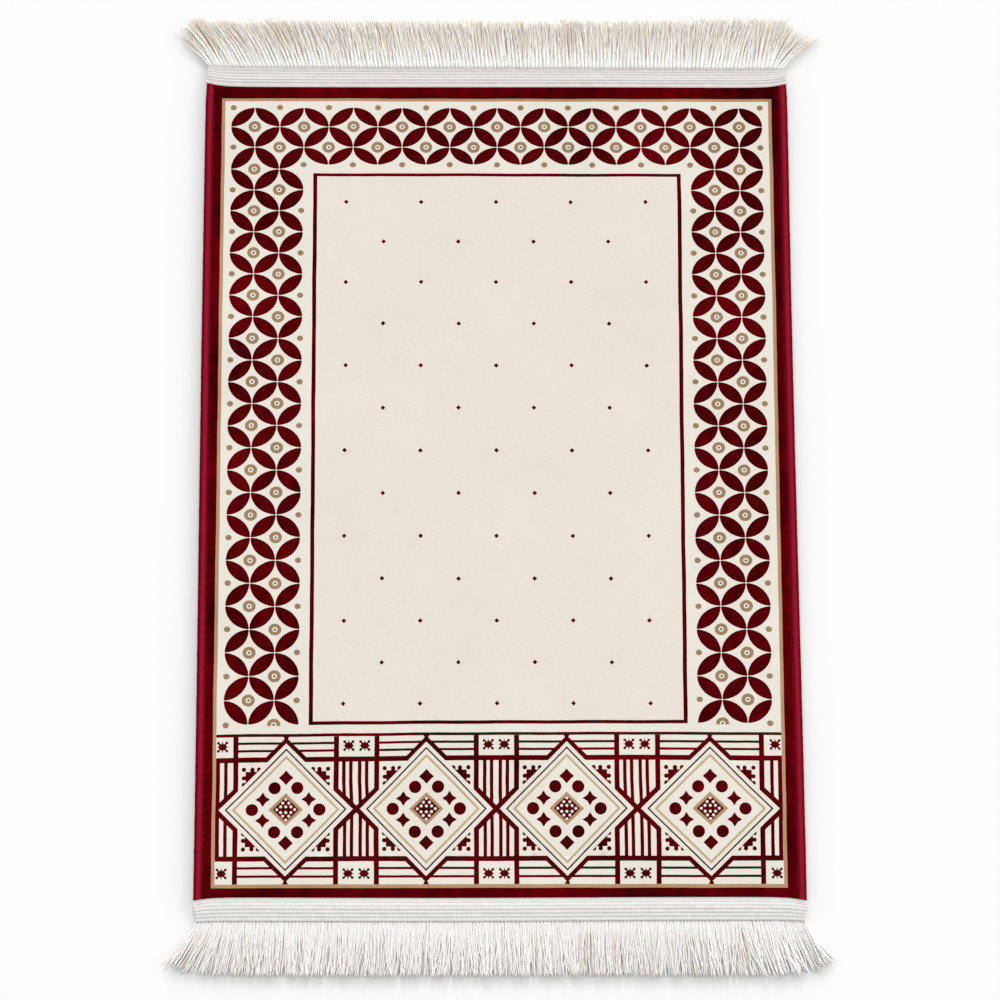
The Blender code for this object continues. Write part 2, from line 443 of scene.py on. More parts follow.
# ---- The rug's plan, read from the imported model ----


@dataclass
class RugPlan:
    """The pile's outline and heights, and the tapes' outer edges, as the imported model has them."""

    edges: dict[str, tuple[np.ndarray, np.ndarray]]
    top: float
    centre: np.ndarray
    half_width: float
    half_length: float
    binding_edge: dict[Side, float]
    brows: dict[End, np.ndarray]
    flare: float = 2.9 * MM  # the ends spread this far towards the corners, over the reach
    flare_start: float = 10 * MM
    flare_reach: float = 13 * MM
    swell: Pair = (0.22 * MM, 0.31)  # how high the cloth's slow swells are, and how long
    pucker: Pair = (0.08 * MM, 0.05)  # and its small ones

    @classmethod
    def read(cls) -> "RugPlan":
        """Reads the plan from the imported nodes.

        Returns:
            The plan.
        """
        cloth = node_points("rug_cloth")
        heights = np.unique(cloth[:, 2].round(5))
        rim = cloth[np.abs(cloth[:, 2] - heights[-2]) < HEIGHT_TOLERANCE]
        low, high = rim.min(axis=0), rim.max(axis=0)
        strip = 6 * MM
        picks = {
            "left": (rim[:, 0] < low[0] + strip, 1),
            "right": (rim[:, 0] > high[0] - strip, 1),
            "near": (rim[:, 1] < low[1] + strip, 0),
            "far": (rim[:, 1] > high[1] - strip, 0),
        }
        edges = {}
        for name, (picked, along) in picks.items():
            points = rim[picked]
            points = points[np.argsort(points[:, along])]
            edges[name] = (points[:, along], points[:, 1 - along])
        middle = {name: float(smooth_through(*edge, np.array(0.0))) for name, edge in edges.items()}
        return cls(
            edges=edges,
            top=float(heights[-1]),
            centre=np.array([middle["left"] + middle["right"], middle["near"] + middle["far"]]) / 2,
            half_width=(middle["right"] - middle["left"]) / 2,
            half_length=(middle["far"] - middle["near"]) / 2,
            binding_edge={Side.LEFT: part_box(Side.LEFT.node)[0][0], Side.RIGHT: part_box(Side.RIGHT.node)[1][0]},
            brows={end: at_height(node_points(end.node), TAPE_BROW) for end in End},
        )

    def side_x(self, side: Side, y: np.ndarray) -> np.ndarray:
        """X of the pile's long edge at y."""
        return smooth_through(*self.edges[side.name.lower()], y)

    def end_y(self, end: End, x: np.ndarray) -> np.ndarray:
        """Works out where the pile ends: the tape pulls the cloth outwards at the corners.

        Args:
            end: The end in question.
            x: The places across the rug.

        Returns:
            Y of the pile's end at each place.
        """
        depth = (self.half_width + self.flare_start - np.abs(x - self.centre[0])) / self.flare_reach
        flare = self.flare * np.exp(-np.clip(depth, 0, None))
        return smooth_through(*self.edges[end.name.lower()], x) + end.value * flare

    def inside(self, x: np.ndarray, y: np.ndarray) -> np.ndarray:
        """How far each place lies inside the pile's outline."""
        across = np.minimum(x - self.side_x(Side.LEFT, y), self.side_x(Side.RIGHT, y) - x)
        return np.minimum(across, np.minimum(y - self.end_y(End.NEAR, x), self.end_y(End.FAR, x) - y))

    def loop(self, inset: float, step: float, tuck: float = 0.0) -> np.ndarray:
        """Points round the pile, anticlockwise, this far inside its outline.

        Args:
            inset: The distance in from the outline.
            step: The greatest distance between points.
            tuck: How much further out the long edges reach.

        Returns:
            The points, one row each.
        """
        corners = {}
        for side in Side:
            for end in End:
                y = self.centre[1] + end.value * (self.half_length - inset)
                x = float(self.side_x(side, y)) - side.value * (inset - tuck)
                corners[side, end] = (x, float(self.end_y(end, x)) - end.value * inset)
        legs = []
        order = [(Side.RIGHT, End.NEAR), (Side.RIGHT, End.FAR), (Side.LEFT, End.FAR), (Side.LEFT, End.NEAR)]
        for k, (start, stop) in enumerate(zip(order, order[1:] + order[:1])):
            a, b = np.array(corners[start]), np.array(corners[stop])
            count = max(2, math.ceil(np.linalg.norm(b - a) / step))
            leg = a + (b - a) * np.linspace(0, 1, count, endpoint=False)[:, None]
            if k % 2 == 0:
                leg[1:, 0] = self.side_x(start[0], leg[1:, 1]) - start[0].value * (inset - tuck)
            else:
                leg[1:, 1] = self.end_y(start[1], leg[1:, 0]) - start[1].value * inset
            legs.append(leg)
        return np.concatenate(legs)

    def lie(self, x: np.ndarray, y: np.ndarray) -> np.ndarray:
        """How far the pile's top lies above or below its level: the cloth is never quite flat."""
        swell, pucker = ripple(x, y, self.swell[1], 3.0), ripple(x, y, self.pucker[1], 5.0)
        return self.swell[0] * swell + self.pucker[0] * pucker


# ---- The woven design, in millimetres: u across from the rug's middle, v down from the pile's far end ----


@dataclass(frozen=True)
class Figure:
    """One outline filled with one yarn. A figure that comes later covers those before it."""

    yarn: Yarn
    points: tuple[Point, ...]
    firm: bool = False  # a firm figure keeps straight, as the rug's own edges do


def box(yarn: Yarn, left: float, top: float, right: float, bottom: float) -> Figure:
    """A rectangle, from its four sides."""
    return Figure(yarn, ((left, top), (right, top), (right, bottom), (left, bottom)))


def oval(yarn: Yarn, centre: Point, across: float, down: float, sides: int = 12) -> Figure:
    """A disc or oval.

    Args:
        yarn: The yarn that it is woven in.
        centre: Its centre.
        across: Its radius across the rug.
        down: Its radius along the rug.
        sides: How many sides stand for its round.

    Returns:
        The figure.
    """
    turns = [2 * math.pi * (k + 0.5) / sides for k in range(sides)]
    u, v = centre
    return Figure(yarn, tuple((u + across * math.cos(t), v + down * math.sin(t)) for t in turns))


def diamond(yarn: Yarn, centre: Point, across: float, down: float) -> Figure:
    """An upright diamond, from its centre and its two half sizes."""
    u, v = centre
    return Figure(yarn, ((u, v - down), (u + across, v), (u, v + down), (u - across, v)))


def star(centre: Point, reach: Point, waist: Point) -> Figure:
    """A crimson star with four points and four hollows.

    Args:
        centre: The star's centre.
        reach: How far its points reach across the rug and along it.
        waist: The two radii of the oval that its hollows lie on.

    Returns:
        The star.
    """
    points = []
    for k in range(8):
        across, down = waist if k % 2 else reach
        turn = k * math.pi / 4
        points.append((centre[0] + across * math.cos(turn), centre[1] + down * math.sin(turn)))
    return Figure(Yarn.CRIMSON, tuple(points))


def clipped(
    figure: Figure,
    left: float = -math.inf,
    top: float = -math.inf,
    right: float = math.inf,
    bottom: float = math.inf,
) -> Figure:
    """Cuts a figure off at up to four straight lines.

    Args:
        figure: The figure.
        left: The least u that is kept.
        top: The least v that is kept.
        right: The greatest u that is kept.
        bottom: The greatest v that is kept.

    Returns:
        What is left of the figure.
    """
    points = list(figure.points)
    for axis, sign, limit in ((0, 1, left), (1, 1, top), (0, -1, -right), (1, -1, -bottom)):
        kept: list[Point] = []
        for a, b in zip(points, points[1:] + points[:1]):
            depth_a, depth_b = sign * a[axis] - limit, sign * b[axis] - limit
            if depth_a >= 0:
                kept.append(a)
            if depth_a * depth_b < 0:
                t = depth_a / (depth_a - depth_b)
                kept.append((a[0] + (b[0] - a[0]) * t, a[1] + (b[1] - a[1]) * t))
        points = kept
    return Figure(figure.yarn, tuple(points))


@dataclass(frozen=True)
class Border:
    """The border: interlaced circles, whose overlaps are crimson petals, with a bronze ring in each gap.

    The side lines are the columns' places on the left, from the outer one to the field's.
    """

    columns: int = 22
    band: int = 3
    rows: int = 28
    side_lines: tuple[float, ...] = (319.1, 290.6, 260.6, 231.6)
    squeeze: float = 1.8  # how far the far band's columns are drawn in towards the middle
    first_row: float = 26.2
    row_step: float = 25.48
    row_growth: float = 0.034  # the weft is beaten closer at the far end than at the near end
    band_lift: float = 1.7
    band_foot: float = 97.4
    circle: float = 0.994  # of a half cell, so that the petals' tips stay apart
    blunt: float = 0.95  # how much of its arc a petal keeps: the tufts are too coarse for a sharp tip
    arc_steps: int = 9
    ring: Pair = (7.7, 7.0)
    ring_hole: Pair = (3.2, 3.0)
    ring_eye: float = 1.3
    last_ring_foot: float = 1.3
    edge_dot: Pair = (3.8, 3.4)
    outer_inset: float = 2.9
    inner_inset: float = 2.7

    def column_u(self, i: int) -> float:
        """Where a column line lies across the rug.

        Args:
            i: The line's number, from the left.

        Returns:
            Its place.
        """
        if 2 * i > self.columns:
            return -self.column_u(self.columns - i)
        if i <= self.band:
            return -self.side_lines[i]
        share = (i - self.band) / (self.columns / 2 - self.band)
        return -self.side_lines[-1] * (1 - share) + self.squeeze * math.sin(math.pi * share)

    def row_v(self, j: int) -> float:
        """Where row line j lies."""
        lift = self.band_lift if 0 < j < self.band else 0.0
        return self.first_row + self.row_step * j + self.row_growth * j * j - lift

    def at_side(self, i: int) -> bool:
        """Whether the half cells right of column line i belong to the border's long sides."""
        return i < self.band or i >= self.columns - self.band

    def petal(self, i: int, j: int) -> Figure:
        """The petal that crosses one half cell.

        Args:
            i: The column line on the half cell's left.
            j: The row line above it.

        Returns:
            The petal.
        """
        half_angle = math.acos(math.sqrt(0.5) / self.circle) * self.blunt
        turns = np.linspace(math.pi / 4 - half_angle, math.pi / 4 + half_angle, self.arc_steps)
        arc = [(self.circle * math.cos(t), self.circle * math.sin(t)) for t in turns]
        lens = arc + [(1 - a, 1 - b) for a, b in arc]
        if (i + j) % 2:
            lens = [(1 - a, b) for a, b in lens]
        left, right, top, foot = self.column_u(i), self.column_u(i + 1), self.row_v(j), self.row_v(j + 1)
        if j == self.band - 1 and not self.at_side(i):
            foot = self.band_foot
        return Figure(
            Yarn.CRIMSON, tuple((left + (right - left) * a, top + (foot - top) * b) for a, b in lens)
        )

    def rings(self, i: int, j: int) -> list[Figure]:
        """What fills the gap at a crossing: a bronze ring, or on the border's rims a bronze dot.

        Args:
            i: The crossing's column line.
            j: Its row line.

        Returns:
            Its figures.
        """
        u, v = self.column_u(i), self.row_v(j)
        outer_side = i in (0, self.columns)
        inner_side = i in (self.band, self.columns - self.band) and j > self.band
        foot = j == self.band and self.band <= i <= self.columns - self.band
        if outer_side:
            u -= math.copysign(self.outer_inset, u)
        if inner_side:
            u += math.copysign(self.inner_inset, u)
        if outer_side or inner_side or foot or j == 0:
            return [oval(Yarn.BRONZE, (u, self.band_foot if foot else v), *self.edge_dot, sides=10)]
        figures = [
            oval(Yarn.BRONZE, (u, v), *self.ring, sides=16),
            oval(Yarn.CREAM, (u, v), *self.ring_hole),
            oval(Yarn.PLUM, (u, v), self.ring_eye, self.ring_eye, sides=8),
        ]
        if j == self.rows:
            figures = [clipped(figure, bottom=v + self.last_ring_foot) for figure in figures]
        return figures

    def figures(self) -> list[Figure]:
        """All the border's figures.

        Returns:
            The petals, then the rings and dots.
        """
        lines = [(i, j) for j in range(self.rows) for i in range(self.columns)]
        cells = [(i, j) for i, j in lines if j < self.band or self.at_side(i)]
        crossings = sorted({(i + a, j + b) for i, j in cells for a in (0, 1) for b in (0, 1)})
        figures = [self.petal(i, j) for i, j in cells]
        for i, j in crossings:
            if (i + j) % 2 == 0:
                figures += self.rings(i, j)
        return figures


@dataclass(frozen=True)
class Field:
    """The plain field: a warmer cream inside a crimson line, strewn with small crimson diamonds."""

    half_width: float = 220.1
    top: float = 108.1
    bottom: float = 766.7
    side_line: float = 4.8
    far_line: float = 3.7
    near_line: float = 4.0
    first_row: float = 143.2
    row_pitch: float = 50.0
    row_bow: Pair = (-18.0, 55.0)  # how the rows stray from even steps, near the far and the near end
    rows: int = 13
    long_row: int = 5
    column_pitch: float = 89.35
    middle: float = -1.6
    speck: Pair = (2.9, 2.9)

    def figures(self) -> list[Figure]:
        """All the field's figures.

        Returns:
            The line round it, the field and its specks.
        """
        inner = self.half_width - self.side_line
        top, bottom = self.top + self.far_line, self.bottom - self.near_line
        figures = [
            box(Yarn.CRIMSON, -self.half_width, self.top, self.half_width, self.bottom),
            box(Yarn.FIELD, -inner, top, inner, bottom),
        ]
        for row in range(self.rows):
            count = self.long_row - row % 2
            share = row / (self.rows - 1)
            bow = share * (1 - share) * (self.row_bow[0] + self.row_bow[1] * share)
            for k in range(count):
                u = self.middle + (k - (count - 1) / 2) * self.column_pitch
                v = self.first_row + row * self.row_pitch + bow
                figures.append(diamond(Yarn.CRIMSON, (u, v), *self.speck))
        return figures


@dataclass(frozen=True)
class Cell:
    """One diamond of the end panel: where its centre lies, and how far it is stretched across the rug."""

    u: float
    stretch: float

    def at(self, across: float) -> float:
        """Where something that far across from the centre lies."""
        return self.u + across * self.stretch


@dataclass(frozen=True)
class EndPanel:
    """The near end's panel: four nested diamonds over crossing bars, with stripes and stars between.

    Places along the rug are measured from the diamonds' centres, unless a name says top or bottom.
    """

    left: float = -327.1
    right: float = 328.9
    line_top: float = 776.4
    top: float = 779.8
    bottom: float = 950.3
    centre_v: float = 864.1
    cells: tuple[Cell, ...] = (Cell(-245.9, 1.003), Cell(-83.4, 0.997), Cell(79.1, 1.004), Cell(245.2, 1.041))
    frame_u: float = 57.9  # from a diamond's centre to the middle of its uprights
    frame_v: Pair = (-58.2, 57.0)  # and to the middle of the far and the near crossbar
    bar: float = 5.9
    band: Pair = (85.5, 84.0)
    plate: Pair = (77.2, 77.0)
    thin_line: Pair = (70.2, 71.2)
    thin_width: float = 2.5
    sand_line: Pair = (62.1, 63.0)
    sand_width: float = 3.6
    foot_from: Pair = (-81.6, 82.8)
    foot_half: Pair = (1.8, 3.4)  # at the diamond's point, and at the panel's rim
    pins: tuple[float, ...] = (-76.8, -68.3, 67.7, 77.2)
    pin_width: float = 2.8
    stripes: tuple[float, ...] = (-13.1, -5.1, 5.0, 13.1)
    stripe_sway: Triple = (1.6, 0.3, 1.2)  # how far each group's far half stands to the left
    stripe_bends: tuple[Pair, ...] = ((-32.0, 0.95), (-8.0, 0.25), (20.0, 0.0))  # place, share of the sway
    end_stripes: Pair = (-315.5, 317.1)
    end_bar: float = 4.8
    stripe_width: float = 4.1
    ray_star_shift: float = 9.2
    ray_star_v: Pair = (-73.6, 73.9)
    end_ray_stars: Pair = (-319.5, 321.2)
    spike: Pair = (7.0, 6.6)
    spike_waist: Pair = (2.4, 2.2)
    spike_body: Pair = (5.0, 3.7)
    ray: Pair = (4.9, 4.6)
    ray_dot: float = 1.7
    ray_half: float = 0.7
    cog_heel: Pair = (46.6, 44.6)
    cog_outer: Pair = (48.6, 47.2)
    cog_teeth: tuple[Pair, Pair] = ((38.8, 31.2), (37.3, 29.6))
    cog_reach: float = 27.5
    near_cog_lift: float = 1.25
    knob: float = 2.6
    tooth: float = 2.3
    hollow_star: Pair = (8.7, 8.6)
    hollow_stars: tuple[Triple, ...] = (  # place across, place along, and the hollows' share of the reach
        (0, -37.2, 0.66), (26.7, -12.0, 0.55), (26.7, 12.6, 0.55),
        (0, 38.9, 0.7), (-26.7, 12.6, 0.55), (-26.7, -12.0, 0.55),
    )
    disc: float = 7.3
    discs: tuple[Point, ...] = (
        (13.2, -25.2), (38.9, 0), (13.2, 26.3), (-13.2, 26.3), (-38.9, 0), (-13.2, -25.2),
    )
    heart: Pair = (19.9, 19.2)
    heart_inner: Pair = (15.1, 14.8)
    heart_dot: Pair = (1.75, 1.75)
    heart_rows: tuple[tuple[float, tuple[float, ...]], ...] = (  # place along, and each dot's place across
        (-12.0, (0.0,)), (-7.6, (-3.5, 3.5)), (-3.3, (-6.0, 0.0, 6.0)), (0.0, (-10.4, 10.4)),
        (3.4, (-6.0, 0.0, 6.0)), (7.7, (-3.5, 3.5)), (12.0, (0.0,)),
    )

    def meeting(self, k: int) -> float:
        """Where the bands of diamonds k and k + 1 cross."""
        reach = (self.band[0] + self.plate[0]) / 2
        return (self.cells[k].at(reach) + self.cells[k + 1].at(-reach)) / 2

    def level_bar(self, left: float, right: float, v: float, width: float) -> Figure:
        """A crimson bar across the rug, from its two ends, its middle and its width."""
        v += self.centre_v
        return box(Yarn.CRIMSON, left, v - width / 2, right, v + width / 2)

    def stripe(self, u: float, sway: float = 0.0) -> Figure:
        """An upright stripe between the crossbars, which stands a little to the left in its far half.

        Args:
            u: Where its middle lies.
            sway: How far its far half stands to the left.

        Returns:
            The stripe.
        """
        half = self.stripe_width / 2
        bends = ((self.frame_v[0], 1.0), *self.stripe_bends, (self.frame_v[1], 0.0))
        left = [(u - half - sway * share, self.centre_v + v) for v, share in bends]
        return Figure(Yarn.CRIMSON, tuple(left + [(a + 2 * half, b) for a, b in reversed(left)]))

    def stripes_and_pins(self) -> list[Figure]:
        """The stripes and pins that fill the spaces between the bars.

        Returns:
            Their figures.
        """
        figures = [
            self.stripe(self.meeting(k) + shift, sway)
            for k, sway in enumerate(self.stripe_sway)
            for shift in self.stripes
        ]
        figures += [self.stripe(u) for u in self.end_stripes]
        far, near = (self.centre_v + v for v in self.frame_v)
        figures.append(box(Yarn.CRIMSON, self.left, far, self.left + self.end_bar, near))
        figures.append(box(Yarn.CRIMSON, self.right - self.end_bar, far, self.right, near))
        for cell in self.cells:
            ends = (cell.at(-self.frame_u), cell.at(self.frame_u))
            figures += [self.level_bar(*ends, v, self.pin_width) for v in self.pins]
        return figures

    def ray_star(self, centre: Point) -> list[Figure]:
        """A small star: an oval with four spikes, and four round dots on slanting stalks.

        Args:
            centre: The star's centre.

        Returns:
            Its figures.
        """
        u, v = centre
        figures = [star(centre, self.spike, self.spike_waist), oval(Yarn.CRIMSON, centre, *self.spike_body)]
        for a in (-1, 1):
            for b in (-1, 1):
                end = (u + a * self.ray[0], v + b * self.ray[1])
                side = (self.ray_half * b, -self.ray_half * a)
                corners = [(x + side[0], y + side[1]) for x, y in (centre, end)]
                corners[1:1] = [(x - side[0], y - side[1]) for x, y in (centre, end)]
                dot = oval(Yarn.CRIMSON, end, self.ray_dot, self.ray_dot, sides=8)
                figures += [Figure(Yarn.CRIMSON, tuple(corners)), dot]
        return figures

    def ray_stars(self) -> list[Figure]:
        """The small stars in the boxes between the diamonds' uprights.

        Returns:
            Their figures, cut off at the panel's sides.
        """
        places = list(self.end_ray_stars)
        for k in range(len(self.cells) - 1):
            places += [self.meeting(k) - self.ray_star_shift, self.meeting(k) + self.ray_star_shift]
        return [
            clipped(part, left=self.left, right=self.right)
            for v in self.ray_star_v
            for u in places
            for part in self.ray_star((u, self.centre_v + v))
        ]

    def bars(self) -> list[Figure]:
        """The crossbars, the uprights, and the diamonds' outer bands with the feet at their points.

        Returns:
            Their figures.
        """
        figures = [self.level_bar(self.left, self.right, v, self.bar) for v in self.frame_v]
        half, (neck, base) = self.bar / 2, self.foot_half
        for cell in self.cells:
            for u in (cell.at(-self.frame_u), cell.at(self.frame_u)):
                figures.append(box(Yarn.CRIMSON, u - half, self.top, u + half, self.bottom))
        for cell in self.cells:
            band = diamond(Yarn.CRIMSON, (cell.u, self.centre_v), self.band[0] * cell.stretch, self.band[1])
            figures.append(clipped(band, self.left, self.top, self.right, self.bottom))
            for start, stop in zip(self.foot_from, (self.top, self.bottom)):
                start += self.centre_v
                foot = ((-neck, start), (neck, start), (base, stop), (-base, stop))
                figures.append(Figure(Yarn.CRIMSON, tuple((cell.u + a, v) for a, v in foot)))
        return figures

    def cog(self, cell: Cell, a: int, b: int) -> list[Figure]:
        """The toothed corner piece between a square and its diamond, with its loose dot.

        Args:
            cell: The diamond.
            a: -1 for a left corner, 1 for a right one.
            b: -1 for a far corner, 1 for a near one.

        Returns:
            Its figures. The diamond's plate covers their inner parts.
        """
        lift = 0.0 if b < 0 else -self.near_cog_lift
        (heel_u, heel_v), (outer_u, outer_v) = self.cog_heel, self.cog_outer
        heel_v, outer_v = heel_v + lift, outer_v + lift

        def patch(*corners: Point) -> Figure:
            """A figure from places in the corner."""
            return Figure(Yarn.CRIMSON, tuple((cell.at(a * u), self.centre_v + b * v) for u, v in corners))

        def dot(u: float, v: float) -> Figure:
            """A round dot at a place in the corner."""
            place = (cell.at(a * u), self.centre_v + b * v)
            return oval(Yarn.CRIMSON, place, self.knob, self.knob, sides=10)

        def shank(u0: float, v0: float, u1: float, v1: float) -> Figure:
            """A tooth's shank, from two opposite corners."""
            return patch((u0, v0), (u1, v0), (u1, v1), (u0, v1))

        figures = [patch((heel_u, heel_v), (heel_u, self.cog_reach), (self.cog_reach, heel_v))]
        figures.append(dot(outer_u, outer_v))
        for u in self.cog_teeth[0]:
            figures += [shank(u - self.tooth, heel_v - 1, u + self.tooth, outer_v), dot(u, outer_v)]
        for v in self.cog_teeth[1]:
            v += lift
            figures += [shank(heel_u - 1, v - self.tooth, outer_u, v + self.tooth), dot(outer_u, v)]
        return figures

    def medallion(self, cell: Cell) -> list[Figure]:
        """One diamond with all that lies in it.

        Args:
            cell: The diamond.

        Returns:
            Its figures, from the square behind it to the dots of its heart.
        """
        u, v = cell.u, self.centre_v

        def nested(yarn: Yarn, size: Point, less: float = 0.0) -> Figure:
            """A diamond round the same centre."""
            return diamond(yarn, (u, v), (size[0] - less) * cell.stretch, size[1] - less)

        side = self.frame_u - self.bar / 2 / cell.stretch
        far, near = self.frame_v[0] + self.bar / 2, self.frame_v[1] - self.bar / 2
        figures = [box(Yarn.CREAM, cell.at(-side), v + far, cell.at(side), v + near)]
        for a in (-1, 1):
            figures += self.cog(cell, a, -1) + self.cog(cell, a, 1)
        figures.append(nested(Yarn.CREAM, self.plate))
        figures += [nested(Yarn.PLUM, self.thin_line), nested(Yarn.CREAM, self.thin_line, self.thin_width)]
        figures += [nested(Yarn.SAND, self.sand_line), nested(Yarn.CREAM, self.sand_line, self.sand_width)]
        across, down = self.hollow_star
        for du, dv, waist in self.hollow_stars:
            hollows = (across * waist, down * waist)
            figures.append(star((cell.at(du), v + dv), self.hollow_star, hollows))
        for du, dv in self.discs:
            figures.append(oval(Yarn.CRIMSON, (cell.at(du), v + dv), self.disc, self.disc))
        figures += [nested(Yarn.TAN, self.heart), nested(Yarn.CRIMSON, self.heart_inner)]
        for dv, row in self.heart_rows:
            figures += [oval(Yarn.CREAM, (u + du, v + dv), *self.heart_dot, sides=8) for du in row]
        return figures

    def figures(self) -> list[Figure]:
        """All the panel's figures.

        Returns:
            The line above it and its ground, the stripes, stars and bars, then the diamonds.
        """
        figures = [
            box(Yarn.CRIMSON, self.left, self.line_top, self.right, self.top),
            box(Yarn.CREAM, self.left, self.top, self.right, self.bottom),
        ]
        figures += self.stripes_and_pins() + self.ray_stars() + self.bars()
        for cell in self.cells:
            figures += self.medallion(cell)
        return figures


@dataclass(frozen=True)
class WovenDesign:
    """The whole design: a tan line inside the pile's crimson edge, the border's ground, and all on it."""

    tan_outer: float = 330.3
    tan_inner: float = 326.3
    far_line: Pair = (14.8, 18.2)
    near_line: Pair = (950.1, 954.5)
    border: Border = field(default_factory=Border)
    inner_field: Field = field(default_factory=Field)
    panel: EndPanel = field(default_factory=EndPanel)
    shift: float = 0.75
    draw_in: float = 0.0085  # the design narrows this much towards the near end
    shear: float = 1.95  # and drifts this far to the left, in millimetres
    firm_drift: float = 1.8  # the right tan line closes in this far, in millimetres
    sag: float = 3.6  # the panel's far part hangs lower towards the left
    sag_v: float = 805.0
    sag_reach: Pair = (70.0, 82.0)
    sag_middle: float = 120.0
    step: float = 7.0
    waver: Triple = (0.28 * MM, 0.11, 0.13)  # how far woven lines waver, and the waves' lengths in x and y
    jitter: Triple = (0.10 * MM, 0.009, 0.010)  # and how far they stray from tuft to tuft

    def figures(self) -> list[Figure]:
        """All the figures, in the order in which they cover each other.

        Returns:
            The tan frame and the ground inside it, the design, and the frame's long sides once more, which
            cut off what wavers over them.
        """
        outer = (-self.tan_outer, self.far_line[0], self.tan_outer, self.near_line[1])
        inner = (-self.tan_inner, self.far_line[1], self.tan_inner, self.near_line[0])
        figures = [replace(box(Yarn.TAN, *outer), firm=True), replace(box(Yarn.CREAM, *inner), firm=True)]
        figures += self.border.figures() + self.inner_field.figures() + self.panel.figures()
        for side in (-1, 1):
            left, right = sorted((side * self.tan_inner, side * self.tan_outer))
            strip = box(Yarn.TAN, left, self.far_line[0], right, self.near_line[1])
            figures.append(replace(strip, firm=True))
        return figures

    def placed(self, figure: Figure, plan: RugPlan) -> np.ndarray:
        """Lays a figure on the rug, with long sides cut into steps so that they can waver.

        Args:
            figure: The figure, in the design's millimetres.
            plan: The rug's plan.

        Returns:
            The figure's points on the rug, in metres, anticlockwise.
        """
        points = np.array(figure.points)
        laid = []
        for a, b in zip(points, np.roll(points, -1, axis=0)):
            count = max(1, math.ceil(float(np.linalg.norm(b - a)) / self.step))
            laid.append(a + (b - a) * (np.arange(count) / count)[:, None])
        uv = np.concatenate(laid)
        u, v = uv[:, 0], uv[:, 1]
        share = v * MM / (2 * plan.half_length)
        if figure.firm:
            x = self.shift + u - self.firm_drift * share * (u > 0)
        else:
            x = self.shift + u * (1 - self.draw_in * share) - self.shear * share
            droop = ((u - self.sag_middle) / (self.tan_inner + self.sag_middle)) ** 2
            reach = np.where(v < self.sag_v, *self.sag_reach)
            v = v + self.sag * droop * np.exp(-(((v - self.sag_v) / reach) ** 2))
        x, y = x * MM, plan.half_length - v * MM
        waver, jitter = self.waver, self.jitter
        dx = waver[0] * ripple(x, y, waver[1], 1.0) + jitter[0] * ripple(x, y, jitter[1], 2.0)
        dy = waver[0] * ripple(x, y, waver[2], 7.0) + jitter[0] * ripple(x, y, jitter[2], 9.0)
        x, y = x + dx + plan.centre[0], y + dy + plan.centre[1]
        laid_out = np.stack([x, y], axis=1)
        turn = np.sum(x * np.roll(y, -1) - y * np.roll(x, -1))
        return laid_out if turn > 0 else laid_out[::-1]


# ---- The rug's pieces ----


